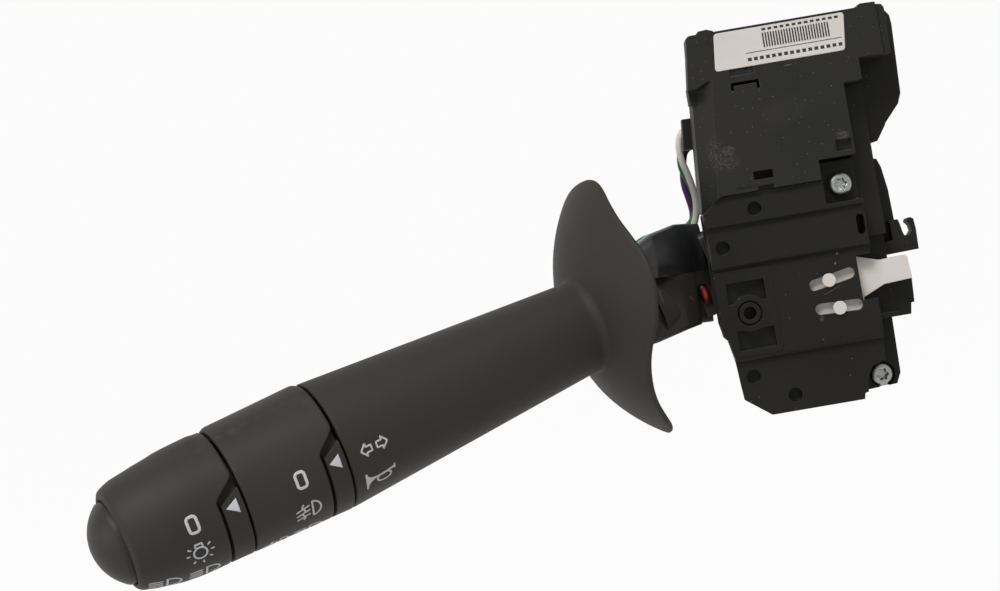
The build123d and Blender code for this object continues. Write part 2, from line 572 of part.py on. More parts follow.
# Arm: hinge block, neck and the spigot that carries the tube
with BuildPart() as arm_core:
    loft(neck_sections(0), ruled=True)
    split(bisect_by=Plane.XY.offset(neck_split_z), keep=Keep.BOTTOM)
    loft(neck_sections(neck_skin), ruled=True)
    with BuildSketch(stalk.offset(neck_end)) as behind:
        RectangleRounded(17.0, 14.4, 6.5)
    with BuildSketch(stalk.offset(spigot_from)) as root:
        RectangleRounded(2 * inner_radius(0) - 0.3, 2 * inner_radius(0) - 0.3, inner_radius(0) - 0.3)
    loft([behind.sketch, root.sketch], ruled=True)
    turned([(0, spigot_from - 1), (inner_radius(spigot_from - 1) - press_gap, spigot_from - 1),
            (inner_radius(spigot_length) - press_gap, spigot_length), (0, spigot_length)])
    with BuildSketch(hinge.offset(-block_height / 2)) as block:
        with Locations(((block_inner - neck_from - 1.2) / 2, 0)):
            RectangleRounded(block_inner + neck_from + 1.2, block_thickness, 1.5)
    extrude(block.sketch, amount=block_height)
    with BuildSketch(hinge.offset(-block_height)) as pin_hole:
        Circle(pull_pin_radius + running_gap)
    extrude(pin_hole.sketch, amount=2 * block_height, mode=Mode.SUBTRACT)
    with BuildSketch(Plane(origin=pivot + inward * plunger_bore_end, x_dir=(0, 1, 0), z_dir=inward)) as plunger_bore:
        Circle(plunger_radius + running_gap)
    extrude(plunger_bore.sketch, amount=block_inner, mode=Mode.SUBTRACT)
    # Wire channel along the lever, entered from behind
    turned([(0, -10), (spindle_bore + 1, -10), (spindle_bore + 1, 3), (spindle_bore, 5),
            (spindle_bore, spigot_length + 1), (0, spigot_length + 1)], mode=Mode.SUBTRACT)
    turned([(0, 4), (spindle_radius - 1.5, 4), (spindle_radius - 1.5, spigot_length + 1), (0, spigot_length + 1)],
           mode=Mode.SUBTRACT)
    with BuildSketch(Plane(origin=tube_base - toward_tip * 10 + lever_up * 0.6, x_dir=toward_tip,
                           z_dir=stalk.y_dir)) as wire_window:
        SlotOverall(14, 9)
    extrude(wire_window.sketch, amount=20, mode=Mode.SUBTRACT)
arm_core.part.label = "arm_core"

with BuildPart() as neck_cover:
    loft(neck_sections(0), ruled=True)
    loft(neck_sections(neck_skin - seat_gap), ruled=True, mode=Mode.SUBTRACT)
    split(bisect_by=Plane.XY.offset(neck_split_z + seat_gap), keep=Keep.TOP)
neck_cover.part.label = "neck_cover"

# Red stop piece beside the neck's root
with BuildPart() as stop_block:
    with BuildSketch(Plane.XZ.offset(pivot_depth + block_thickness / 2 + seat_gap)):
        with Locations((-8.6, 5.6)):
            RectangleRounded(1.5, 4.4, 0.5, rotation=-14)
    extrude(amount=1.6)
stop_block.part.label = "stop_block"

# Sprung plunger in the arm's inner end
with BuildPart() as detent_plunger:
    with BuildSketch(Plane(origin=pivot + inward * plunger_skirt, x_dir=(0, 1, 0), z_dir=inward)):
        Circle(plunger_radius)
    extrude(amount=plunger_reach - plunger_skirt)
    fillet(detent_plunger.faces().sort_by(Axis(pivot, inward))[-1].edges(), plunger_radius - 0.4)
detent_plunger.part.label = "detent_plunger"


def coil(plane, radius, wire, length, turns):
    """A compression spring as a helical wire on a plane's axis."""
    path = Helix(pitch=length / turns, height=length, radius=radius, center=plane.origin, direction=plane.z_dir,
                 mode=Mode.PRIVATE)
    start = Plane(origin=path @ 0, z_dir=path % 0)
    with BuildSketch(start) as wire_section:
        RegularPolygon(wire / 2, 6)
    sweep(wire_section.sketch, path=path)


with BuildPart() as detent_spring:
    coil(Plane(origin=pivot + inward * (plunger_bore_end + 0.3), z_dir=inward), plunger_radius - 0.5, 0.4,
         plunger_skirt - plunger_bore_end - 0.6, 3)
detent_spring.part.label = "detent_spring"

# Shroud: a thin spherical cap round the pivot, its edge cut square to the wall.
# Edge points lie on the outer ball: the height above the pivot and the distance away from the driver
shroud_near = [(-26.3, 3.2), (-24.4, 0.8), (-21.6, -1.7), (-17.2, -7.0), (-12.8, -11.5), (-8.8, -15.3), (-3.5, -20.2),
               (1.2, -23.1), (5.5, -23.9), (10.2, -23.2), (16.6, -19.9), (21.8, -15.6), (26.7, -10.3), (30.5, -4.3),
               (31.7, 0.7)]
shroud_far = [(31.7, 0.7), (30.6, 7.6), (24.1, 15.4), (11.6, 23.1), (2.0, 23.4), (-11.4, 14.5), (-18.7, 8.5),
              (-26.3, 3.2)]
pivot_plane = Plane(origin=pivot, x_dir=lever_up, z_dir=toward_tip)


def shroud_section(distance):
    """The shroud's edge projected from the pivot on a plane across the lever."""
    edges = []
    for points in (shroud_near, shroud_far):
        edges.append([(up * distance / reach, away * distance / reach) for up, away, reach in
                      [(up, away, (shroud_radius**2 - up**2 - away**2) ** 0.5) for up, away in points]])
    with BuildSketch(pivot_plane.offset(distance)) as outline:
        with BuildLine():
            Spline(*edges[0])
            Spline(*edges[1])
        make_face()
    return outline.sketch


with BuildPart() as shroud:
    loft([shroud_section(shroud_radius / 4), shroud_section(shroud_radius + 2)], ruled=True)
    with Locations(Location(pivot)):
        Sphere(shroud_radius, mode=Mode.INTERSECT)
    with Locations(Location(pivot)):
        Sphere(shroud_radius - shroud_wall, mode=Mode.SUBTRACT)
    turned([(0, -30), (inner_radius(0) + press_gap, -30), (inner_radius(0) + press_gap, 20), (0, 20)],
           mode=Mode.SUBTRACT)
shroud.part.label = "shroud"

# Tube of the lever, seated on the shroud and filleted to it
with BuildPart() as stalk_tube:
    tube_end = tube_length - groove_gap
    with Locations(Location(pivot)):
        Sphere(shroud_radius)
    turned([(0, -4), (tube_radius(-4), -4), (tube_radius(tube_end - 0.5), tube_end - 0.5),
            (tube_radius(tube_end) - 0.5, tube_end), (0, tube_end)])
    root = stalk_tube.edges().filter_by(lambda edge: edge.length > 40 and (edge @ 0.3 - tube_base).length < 15)
    fillet(root, tube_fillet)
    with Locations(Location(pivot)):
        Sphere(shroud_radius + seat_gap, mode=Mode.SUBTRACT)
    turned([(0, -10), (inner_radius(-10), -10), (inner_radius(tube_end + 1), tube_end + 1), (0, tube_end + 1)],
           mode=Mode.SUBTRACT)
stalk_tube.part.label = "stalk_tube"

# Spindle: carries the tube's end, both marker bands, the rings and the horn contact
flange_at = tube_length - 8
spindle_flange = [(station_radius - press_gap, station) for station_radius, station in
                  ((inner_radius(flange_at), flange_at), (inner_radius(tube_length - 1), tube_length - 1))]
with BuildPart() as spindle:
    turned([(spindle_bore, 5), (spindle_radius - 1.5 - press_gap, 5), (spindle_radius - 1.5 - press_gap, spigot_length),
            (spindle_radius, spigot_length + 2), (spindle_radius, flange_at)]
           + spindle_flange
           + [(spindle_radius, tube_length - 1), (spindle_radius, clip_groove_at),
              (clip_groove_radius, clip_groove_at), (clip_groove_radius, clip_groove_at + clip_thickness + 0.1),
              (spindle_radius - 0.4, clip_groove_at + clip_thickness + 0.1), (spindle_radius - 0.4, spindle_end),
              (stem_radius + running_gap, spindle_end), (stem_radius + running_gap, stem_seat),
              (spindle_bore, stem_seat)])
spindle.part.label = "spindle"


def band_region(station, width, side, gap):
    """The marker band's share of the circumference (side 1) or the skirt's (side -1), as two outlines to pull."""
    radius = ring_radius(station)
    reach = 2 * radius
    slant_tube = radius * cos(radians(marker_top)) - gap * side
    slant_ring = radius * cos(radians(marker_end)) - gap * side
    far_edge = -radius * cos(radians(marker_far)) if side > 0 else 0.0
    outer = -reach * side
    low, high = station - 1, station + width + 1
    with BuildSketch(stalk_side) as near:
        with BuildLine():
            Polyline((slant_tube, low), (slant_tube, station), (slant_ring, station + width), (slant_ring, high),
                     (outer, high), (outer, low), close=True)
        make_face()
    with BuildSketch(stalk_side) as far:
        with BuildLine():
            Polyline((far_edge, low), (far_edge, high), (outer, high), (outer, low), close=True)
        make_face()
    return near.sketch, far.sketch, reach


def banded_sleeve(station, width):
    """A fixed marker band: a low sleeve all round, and a full-height arc with a slanted upper edge."""
    start, end = station + groove_gap, station + width - groove_gap
    near, far, reach = band_region(station, width, 1, groove_gap)
    with BuildPart() as sleeve:
        turned([(ring_radius(start), start), (ring_radius(end), end), (spindle_radius + press_gap, end),
                (spindle_radius + press_gap, start)])
        with BuildPart(mode=Mode.PRIVATE) as kept:
            extrude(near, amount=reach)
            extrude(far, amount=-reach)
            low = ring_radius(end) - band_step
            turned([(low, start), (low, end), (0, end), (0, start)])
        add(kept.part, mode=Mode.INTERSECT)
    return sleeve.part


def turning_ring(station, length, outline, web_at, hub_end, skirt_station, skirt_width):
    """A ring the driver turns: an outer shell with a hub and a web, and a skirt over its marker band."""
    start = station + groove_gap
    near, far, reach = band_region(skirt_station, skirt_width, -1, groove_gap)
    skirt_start = skirt_station + groove_gap
    skirt_outer = ring_radius(skirt_start)
    hub_inner = spindle_radius + running_gap
    with BuildPart() as ring:
        turned([(skirt_outer, skirt_start), (ring_radius(start), start + 0.5),
                (ring_radius(start) - skirt_wall, start + 0.5), (skirt_outer - skirt_wall, skirt_start)])
        with BuildPart(mode=Mode.PRIVATE) as kept:
            extrude(near, amount=reach)
            extrude(far, amount=-reach)
        add(kept.part, mode=Mode.INTERSECT)
        turned(outline)
        turned([(hub_inner, web_at), (ring_radius(web_at) - 1, web_at),
                (ring_radius(web_at) - 1, web_at + ring_web), (hub_inner + ring_hub_wall, web_at + ring_web),
                (hub_inner + ring_hub_wall, hub_end), (hub_inner, hub_end)])
    return ring.part


fog_marker_band = banded_sleeve(fog_band_at, fog_band_width)
fog_marker_band.label = "fog_marker_band"
light_marker_band = banded_sleeve(light_band_at, light_band_width)
light_marker_band.label = "light_marker_band"

# Fog ring
web_gap = contact_disc_thickness + wiper_thickness + 2 * part_gap
fog_start, fog_end = fog_ring_at + groove_gap, light_band_at - groove_gap
fog_outline = [(ring_radius(fog_start), fog_start), (ring_radius(fog_end - ring_shoulder), fog_end - ring_shoulder),
               (ring_radius(fog_end) - ring_shoulder, fog_end), (ring_radius(fog_end) - ring_wall, fog_end),
               (ring_radius(fog_start) - ring_wall, fog_start)]
fog_ring = turning_ring(fog_ring_at, fog_ring_length, fog_outline, fog_ring_at + web_gap,
                        light_band_at - part_gap, fog_band_at, fog_band_width)
fog_ring.label = "fog_ring"

# Light ring: barrel-shaped towards the tip, open for the horn button
light_start = light_ring_at + groove_gap
light_profile = [(13.1, light_start), (13.05, light_start + 5), (12.6, light_start + 10),
                 (11.7, light_start + 15), (10.9, rim_at - 1.2), (rim_radius - 0.4, rim_at)]
mouth_radius = button_radius + part_gap
light_outline = (light_profile
                 + [(mouth_radius, rim_at), (mouth_radius, rim_at - 2.2),
                    (10.2, light_start + 13), (11.0, light_start + 9), (11.1, light_start)])
light_ring = turning_ring(light_ring_at, light_ring_length, light_outline, light_ring_at + web_gap,
                          clip_groove_at - part_gap, light_band_at, light_band_width)
light_ring.label = "light_ring"

# Contact discs on the spindle and the wipers that turn with the rings
def contact_disc(station):
    """A printed contact disc, seated on a marker band's face."""
    with BuildPart() as disc_part:
        turned([(spindle_radius + press_gap, station), (contact_disc_radius, station),
                (contact_disc_radius, station + contact_disc_thickness),
                (spindle_radius + press_gap, station + contact_disc_thickness)])
    return disc_part.part


def wiper(station):
    """A bronze wiper ring with three raised fingers, held on a ring's web."""
    with BuildPart() as wiper_part:
        turned([(8.4, station), (10.2, station), (10.2, station + wiper_thickness),
                (8.4, station + wiper_thickness)])
    return wiper_part.part


fog_contact_disc = contact_disc(fog_ring_at - groove_gap + seat_gap)
fog_contact_disc.label = "fog_contact_disc"
light_contact_disc = contact_disc(light_ring_at - groove_gap + seat_gap)
light_contact_disc.label = "light_contact_disc"
fog_wiper = wiper(fog_ring_at + web_gap - wiper_thickness - seat_gap)
fog_wiper.label = "fog_wiper"
light_wiper = wiper(light_ring_at + web_gap - wiper_thickness - seat_gap)
light_wiper.label = "light_wiper"

with BuildPart() as retaining_clip:
    clip_at = clip_groove_at + seat_gap
    turned([(clip_groove_radius + press_gap, clip_at), (clip_radius, clip_at), (clip_radius, clip_at + clip_thickness),
            (clip_groove_radius + press_gap, clip_at + clip_thickness)])
    with BuildSketch(stalk.offset(clip_at - 1)) as mouth:
        with Locations((0, clip_radius)):
            Rectangle(7, 10)
    extrude(mouth.sketch, amount=3, mode=Mode.SUBTRACT)
retaining_clip.part.label = "retaining_clip"

# Horn button: domed cap with a skirt and a guide stem
cap_under = rim_at - 1.0
with BuildPart() as horn_button:
    dome_sphere = (button_radius**2 + button_dome**2) / (2 * button_dome)
    turned([(0, cap_under - 3.0), (button_radius, cap_under - 3.0), (button_radius, rim_at + 0.4), (0, rim_at + 10)])
    with Locations(Location(tube_base + toward_tip * (rim_at + 0.4 + button_dome - dome_sphere))):
        Sphere(dome_sphere, mode=Mode.INTERSECT)
    turned([(stem_radius, cap_under - 4.0), (button_radius - button_wall, cap_under - 4.0),
            (button_radius - button_wall, cap_under), (stem_radius, cap_under)], mode=Mode.SUBTRACT)
    turned([(0, stem_seat + horn_travel + 1.0), (stem_radius, stem_seat + horn_travel + 1.0),
            (stem_radius, cap_under), (0, cap_under)])
horn_button.part.label = "horn_button"

with BuildPart() as horn_spring:
    coil_room = cap_under - spindle_end
    coil(stalk.offset(spindle_end + coil_wire / 2 + seat_gap), stem_radius + 1.1, coil_wire,
         coil_room - coil_wire - 2 * seat_gap - 0.2, coil_turns)
horn_spring.part.label = "horn_spring"

with BuildPart() as horn_contact:
    turned([(0, stem_seat + seat_gap), (stem_radius - 0.1, stem_seat + seat_gap),
            (stem_radius - 0.1, stem_seat + 0.5), (1.4, stem_seat + 0.8), (0, stem_seat + 0.8)])
horn_contact.part.label = "horn_contact"

# White cancelling slider: plate, two guide pins in the slots, and the stud that carries the pawl
with BuildPart() as cancel_slider:
    slab((13.8, 24.9), (-4.2, 7.6), (slider_back, slider_front), corner=1.0)
    for centre in ((17.8, 4.1), (19.1, -2.1)):
        disc(centre, pin_radius, (slider_front - 0.2, step_depths[2] + pin_head))
        disc(centre, pin_head_radius, (step_depths[2] + 0.1, step_depths[2] + pin_head))
    disc(pawl_pivot, pawl_stud_radius, (slider_back - pawl_thickness - stud_overrun, slider_back + 0.2))
cancel_slider.part.label = "cancel_slider"

# White cancelling pawl with its nose towards the column
with BuildPart() as cancel_pawl:
    plate([(20.4, -0.2), (24.4, -1.2), (30.0, 1.2), (35.9, 1.5), (36.1, 1.8), (35.8, 6.2), (35.4, 6.7), (29.8, 6.5),
           (24.9, 8.1), (20.4, 7.0)], (pawl_back, pawl_front))
    disc(pawl_pivot, pawl_boss_radius, (pawl_back, pawl_front))
    disc(pawl_pivot, pawl_stud_radius + running_gap, (pawl_back - 1, pawl_front + 1), mode=Mode.SUBTRACT)
cancel_pawl.part.label = "cancel_pawl"


def cable(points, radius):
    """A round wire along straight runs and large tangent arcs; prints its radii and checks its volume."""
    corners = [Vector(*point) for point in points]
    runs = [after - before for before, after in zip(corners, corners[1:])]
    radii = []
    for before, after in zip(runs, runs[1:]):
        turn = radians(before.get_angle(after))
        radii.append(0.45 * min(before.length, after.length) / (sin(turn / 2) / cos(turn / 2)))
    path = FilletPolyline(*corners, radius=radii, mode=Mode.PRIVATE)
    with BuildPart() as tube_part:
        with BuildSketch(Plane(origin=corners[0], z_dir=runs[0])) as wire_section:
            Circle(radius)
        sweep(wire_section.sketch, path=path)
    ratio = tube_part.part.volume / (pi * radius**2 * path.length)
    print("wire", round(path.length, 1), "mm, radii", [round(value, 1) for value in radii], "ratio", round(ratio, 4))
    return tube_part.part


def along(station, up, away):
    """A point given by its station along the lever and its offsets from the lever's axis."""
    point = tube_base + toward_tip * station + lever_up * up + stalk.y_dir * away
    return (point.X, point.Y, point.Z)


white_route = [(-3.0, -12.4, 42.2), (-6.8, -12.4, 41.8), (-7.7, -11.6, 37.0), (-5.7, -8.8, 30.6),
               (-5.7, -6.2, 24.0), (-8.0, -3.8, 17.5), (-13.5, -5.2, 13.5), (-20.5, -10.5, 10.8), along(-10, 0.8, 6.0),
               along(-3.0, 0.95, 0.6), along(8, 0.95, 0.2), along(26, 0.95, 0.0), along(44, 0.9, 0.2),
               along(60, 0.95, 0.0), along(76, 0.9, 0.1), along(88, 0.95, 0.0)]
green_route = [(-3.0, -10.4, 40.2), (-6.4, -10.2, 39.4), (-7.4, -8.6, 34.4), (-6.5, -6.6, 28.6),
               (-6.6, -4.3, 23.4), (-12.6, -5.0, 20.6), (-20.2, -7.8, 19.4), along(-9.6, 3.0, 7.4), along(-2.0, -0.5, 1.9),
               along(9, -0.5, 0.9), along(26, -0.5, 0.85), along(42, -0.5, 0.8), along(56, -0.5, 0.85),
               along(68, -0.45, 0.8)]
purple_route = [(-3.0, -8.4, 38.6), (-6.0, -8.0, 37.9), (-7.4, -6.2, 31.6), (-6.6, -3.2, 25.0),
                (-8.2, -1.8, 17.5), (-13.8, -2.4, 11.4), (-20.2, -8.6, 8.6), along(-10.5, -1.4, 7.2),
                along(-4.0, -0.8, -0.6), along(8, -0.5, -0.85), along(26, -0.5, -0.9), along(44, -0.5, -0.85),
                along(60, -0.5, -0.9), along(76, -0.45, -0.85), along(91, -0.5, -0.9)]
wire_white = cable(white_route, wire_radius)
wire_white.label = "wire_white"
wire_green = cable(green_route, thin_wire_radius)
wire_green.label = "wire_green"
wire_purple = cable(purple_route, wire_radius)
wire_purple.label = "wire_purple"

os.makedirs("parts", exist_ok=True)
for built in (case_body, top_cover, back_plate, socket_shell, terminal_blades, contact_board, board_tracks,
              case_screws, detent_cam, contact_slider, contact_springs, fixed_contacts, cradle, pull_pin, arm_core,
              neck_cover, stop_block, detent_plunger, detent_spring, shroud, stalk_tube, spindle, retaining_clip,
              horn_button, horn_spring, horn_contact, cancel_slider, cancel_pawl):
    export_step(built.part, f"parts/{built.part.label}.step")
for made in (fog_marker_band, light_marker_band, fog_ring, light_ring, fog_contact_disc, light_contact_disc,
             fog_wiper, light_wiper, wire_white, wire_green, wire_purple):
    export_step(made, f"parts/{made.label}.step")
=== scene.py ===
"""Looks of the steering column's combination stalk switch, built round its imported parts.

Metres in the part's own frame: the back face is y = 0, +Z runs up the housing and the lever points along -X.
Shapes on the lever come from a station along it, a radius and an angle from its top towards the driver.
"""

import json

import bmesh
import bpy
import numpy as np
from mathutils import Matrix, Vector


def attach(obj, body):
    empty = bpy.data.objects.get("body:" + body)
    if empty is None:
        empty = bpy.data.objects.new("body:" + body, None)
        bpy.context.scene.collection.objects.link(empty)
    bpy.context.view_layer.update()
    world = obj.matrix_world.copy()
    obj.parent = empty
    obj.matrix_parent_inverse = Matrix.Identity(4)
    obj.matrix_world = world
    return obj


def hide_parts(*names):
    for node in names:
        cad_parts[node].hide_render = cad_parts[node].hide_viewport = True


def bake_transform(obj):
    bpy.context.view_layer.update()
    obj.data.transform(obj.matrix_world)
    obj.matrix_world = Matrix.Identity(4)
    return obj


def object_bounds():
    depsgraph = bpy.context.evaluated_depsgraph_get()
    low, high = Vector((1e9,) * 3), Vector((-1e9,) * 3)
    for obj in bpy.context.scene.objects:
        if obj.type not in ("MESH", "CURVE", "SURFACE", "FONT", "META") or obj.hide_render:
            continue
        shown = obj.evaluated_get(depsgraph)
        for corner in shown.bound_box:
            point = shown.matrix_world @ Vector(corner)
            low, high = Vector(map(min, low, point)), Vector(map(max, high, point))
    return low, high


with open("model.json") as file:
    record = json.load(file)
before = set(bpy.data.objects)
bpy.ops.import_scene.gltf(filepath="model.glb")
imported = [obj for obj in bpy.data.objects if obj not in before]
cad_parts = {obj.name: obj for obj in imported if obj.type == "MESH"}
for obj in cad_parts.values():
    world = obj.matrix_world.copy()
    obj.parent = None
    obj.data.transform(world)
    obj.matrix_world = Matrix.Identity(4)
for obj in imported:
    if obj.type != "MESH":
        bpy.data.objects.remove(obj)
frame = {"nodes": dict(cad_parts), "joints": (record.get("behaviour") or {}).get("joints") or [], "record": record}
cad_box = [list(corner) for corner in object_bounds()]

MM = 0.001
PHOTO_SIZE = (1000, 591)

joints = {joint["name"]: joint for joint in frame["joints"]}
tube_base = np.array(joints["fog_ring_turn"]["pos_m"]) / MM
toward_tip = np.array(joints["fog_ring_turn"]["axis"])
lever_up = np.array(joints["flash_pull"]["axis"])
toward_driver = np.cross(lever_up, toward_tip)

# Lever, millimetres: stations along it and radii
axis_rise = 2.6
shroud_radius, shroud_wall, ball_drop = 40.35, 1.3, 2.25
pivot_to_tube = 40.4
tube_length = 61.4
tube_base_radius, tube_end_radius = 10.05, 13.75
tube_wall = 2.0
fog_band_at, fog_band_width = tube_length, 4.4
light_band_at, light_band_width = 83.4, 4.8
light_ring_at = 88.2
rim_at = 107.4
light_ring_radius = 13.1
mouth_radius, button_radius, button_dome = 9.05, 8.75, 4.6
groove_gap = 0.25
open_groove = groove_gap + 0.05
skirt_wall = 1.35
edge_round = 0.4

# Millimetres from the back face to the cover's front, and the depth that placed marks (wear, painted shade and
# painted highlights) reach; columns round
cover_depth, mark_reach = 32.0, 18.0
turn_columns, wire_columns = 240, 18

# Metres
merge_distance = 2e-6
fine_grain = 0.000004

dust_colour = (128, 124, 117)


def link(mesh, finish):
    """Puts a mesh into the scene as an object of the same name at the origin, with one of the finishes."""
    piece = bpy.data.objects.new(mesh.name, mesh)
    bpy.context.scene.collection.objects.link(piece)
    mesh.materials.append(finish)
    return piece


def add_piece(mesh, body, finish, replaced=()):
    """Links a mesh, hangs it on its body and hides the nodes that it stands for."""
    piece = link(mesh, FINISHES[finish])
    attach(piece, body)
    if replaced:
        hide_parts(*replaced)


def surface(name, grid, close_rows=False, close_columns=False):
    """A mesh over a grid of points, rows by columns by xyz in millimetres, closed along either direction."""
    rows, columns = grid.shape[:2]
    index = np.arange(rows * columns).reshape(rows, columns)
    if close_rows:
        index = np.vstack([index, index[:1]])
    if close_columns:
        index = np.hstack([index, index[:, :1]])
    corners = np.stack([index[:-1, :-1], index[1:, :-1], index[1:, 1:], index[:-1, 1:]], axis=-1)
    return settled_mesh(name, grid.reshape(-1, 3), corners.reshape(-1, 4).tolist(), True)


def settled_mesh(name, points, faces, smooth):
    """A mesh of points in millimetres and faces, turned outwards; a smooth one has doubled points merged."""
    mesh = bpy.data.meshes.new(name)
    mesh.from_pydata((points * MM).tolist(), [], faces)
    work = bmesh.new()
    work.from_mesh(mesh)
    if smooth:
        bmesh.ops.remove_doubles(work, verts=work.verts, dist=merge_distance)
    bmesh.ops.recalc_face_normals(work, faces=work.faces)
    work.to_mesh(mesh)
    work.free()
    if smooth:
        mesh.shade_smooth()
    else:
        mesh.shade_flat()
    return mesh


def on_lever(station, radius, angle):
    """Points of the lever: its base, plus the station along it, plus the radius turned by the angle."""
    station, radius, angle = np.broadcast_arrays(station, radius, angle)
    across = np.cos(angle)[..., None] * lever_up + np.sin(angle)[..., None] * toward_driver
    return tube_base + station[..., None] * toward_tip + radius[..., None] * across


def tube_radius(station):
    """The tube widens evenly from its base to its end."""
    return tube_base_radius + (tube_end_radius - tube_base_radius) * station / tube_length


def ring_radius(station):
    """The rings and their bands taper evenly from the tube's end to the light ring's start."""
    share = (station - fog_band_at) / (light_ring_at - fog_band_at)
    return tube_end_radius + (light_ring_radius - tube_end_radius) * share


def barrel_radius(station):
    """The light ring's outline: a smooth line that falls away towards the rim."""
    stations = light_ring_at + groove_gap + np.array([0, 5, 10, 15, 17.75, 18.95])
    return np.interp(station, stations, (13.1, 13.05, 12.6, 11.7, 10.9, 9.9))


def step(low, high, value):
    """Rises from 0 at low to 1 at high along 3t^2 - 2t^3; low may be above high."""
    share = np.clip((value - low) / (high - low), 0, 1)
    return share * share * (3 - 2 * share)


def run_lengths(points):
    """How far along its line each point lies."""
    return np.concatenate([[0], np.cumsum(np.linalg.norm(np.diff(points, axis=0), axis=1))])


def smooth_line(points, count):
    """A line through points: cubic Hermite runs over the chord length, sloped by central differences."""
    points = np.asarray(points, float)
    knots = run_lengths(points)
    slopes = np.gradient(points, knots, axis=0)
    at = np.linspace(0, knots[-1], count)
    run = np.clip(np.searchsorted(knots, at, side="right") - 1, 0, len(knots) - 2)
    width = (knots[run + 1] - knots[run])[:, None]
    t = (at - knots[run])[:, None] / width
    return ((2 * t**3 - 3 * t**2 + 1) * points[run] + (t**3 - 2 * t**2 + t) * width * slopes[run]
            + (3 * t**2 - 2 * t**3) * points[run + 1] + (t**3 - t**2) * width * slopes[run + 1])


def rounded(points, rounds=3):
    """A line with its corners cut: each round keeps the points a quarter of a run from either end of it."""
    points = np.asarray(points, float)
    for _ in range(rounds):
        near, far = 0.75 * points[:-1] + 0.25 * points[1:], 0.25 * points[:-1] + 0.75 * points[1:]
        cut = np.stack([near, far], axis=1)
        points = np.vstack([points[:1], cut.reshape(-1, points.shape[1]), points[-1:]])
    return points


def turned_grid(profile):
    """A closed profile of (station, radius) points turned about the lever's axis."""
    profile = np.asarray(profile, float)
    angle = np.linspace(0, 2 * np.pi, turn_columns, endpoint=False)
    return on_lever(profile[:, :1], profile[:, 1:], angle[None, :])


# Shader groups

def new_group(name, inputs, outputs):
    """An empty shader group with named sockets: (kind, name, default) in and (kind, name) out."""
    tree = bpy.data.node_groups.new(name, "ShaderNodeTree")
    for kind, label, value in inputs:
        tree.interface.new_socket(name=label, in_out="INPUT", socket_type=kind).default_value = value
    for kind, label in outputs:
        tree.interface.new_socket(name=label, in_out="OUTPUT", socket_type=kind)
    return tree, tree.nodes.new("NodeGroupInput"), tree.nodes.new("NodeGroupOutput")


def add_node(tree, kind, inputs=None, **settings):
    """A node with its settings; an input, by its name or number, is linked to a socket or set to a value."""
    node = tree.nodes.new(kind)
    for key, value in settings.items():
        setattr(node, key, value)
    for key, value in (inputs or {}).items():
        if isinstance(value, bpy.types.NodeSocket):
            tree.links.new(value, node.inputs[key])
        else:
            node.inputs[key].default_value = value
    return node


def calculate(tree, operation, first, second):
    """The result of one operation on two sockets or plain numbers."""
    return add_node(tree, "ShaderNodeMath", {0: first, 1: second}, operation=operation).outputs[0]


def map_range(tree, value, from_min=0.0, from_max=1.0, to_min=0.0, to_max=1.0, **settings):
    """The result of a value carried over from one range to another."""
    return add_node(tree, "ShaderNodeMapRange", {
        "Value": value, "From Min": from_min, "From Max": from_max, "To Min": to_min, "To Max": to_max,
    }, **settings).outputs["Result"]


def moulded_grain_group():
    """Fine moulded texture: a height and a mask from two scales of noise on object coordinates."""
    tree, given, made = new_group("moulded_grain", [
        ("NodeSocketFloat", "Grain Size", 3000.0), ("NodeSocketFloat", "Cloud Size", 60.0),
    ], [("NodeSocketFloat", "Height"), ("NodeSocketFloat", "Cloud")])
    place = add_node(tree, "ShaderNodeTexCoord").outputs["Object"]
    for size, detail, rough, result in (
        ("Grain Size", 2.0, 0.6, "Height"),
        ("Cloud Size", 4.0, 0.55, "Cloud"),
    ):
        noise = add_node(tree, "ShaderNodeTexNoise", {
            "Vector": place, "Scale": given.outputs[size], "Detail": detail, "Roughness": rough})
        tree.links.new(noise.outputs["Fac"], made.inputs[result])
    return tree


def dust_specks_group():
    """Scattered pale specks: the centres of a cell pattern, thinned out by each cell's own random share."""
    tree, given, made = new_group("dust_specks", [
        ("NodeSocketFloat", "Speck Density", 420.0), ("NodeSocketFloat", "Speck Reach", 0.12),
        ("NodeSocketFloat", "Share", 0.5),
    ], [("NodeSocketFloat", "Mask")])
    place = add_node(tree, "ShaderNodeTexCoord").outputs["Object"]
    cells = add_node(tree, "ShaderNodeTexVoronoi", {
        "Vector": place, "Scale": given.outputs["Speck Density"]}, feature="F1")
    near_centre = calculate(tree, "LESS_THAN", cells.outputs["Distance"], given.outputs["Speck Reach"])
    split = add_node(tree, "ShaderNodeSeparateColor", {"Color": cells.outputs["Color"]})
    chosen = calculate(tree, "LESS_THAN", split.outputs["Red"], given.outputs["Share"])
    tree.links.new(calculate(tree, "MULTIPLY", near_centre, chosen), made.inputs["Mask"])
    return tree


def soft_edge_group():
    """Rounded edges: the normal averaged over a small radius, and a mask where it leaves the face's own, along
    which the plastics paint a highlight.
    """
    tree, given, made = new_group("soft_edge", [
        ("NodeSocketFloat", "Edge Radius", 0.0003),
    ], [("NodeSocketVector", "Normal"), ("NodeSocketFloat", "Edge")])
    bevel = add_node(tree, "ShaderNodeBevel", {"Radius": given.outputs["Edge Radius"]}, samples=6)
    own = add_node(tree, "ShaderNodeNewGeometry")
    agree = add_node(tree, "ShaderNodeVectorMath", {
        0: bevel.outputs["Normal"], 1: own.outputs["Normal"]}, operation="DOT_PRODUCT")
    tree.links.new(bevel.outputs["Normal"], made.inputs["Normal"])
    tree.links.new(map_range(tree, agree.outputs["Value"], 0.995, 0.85), made.inputs["Edge"])
    return tree


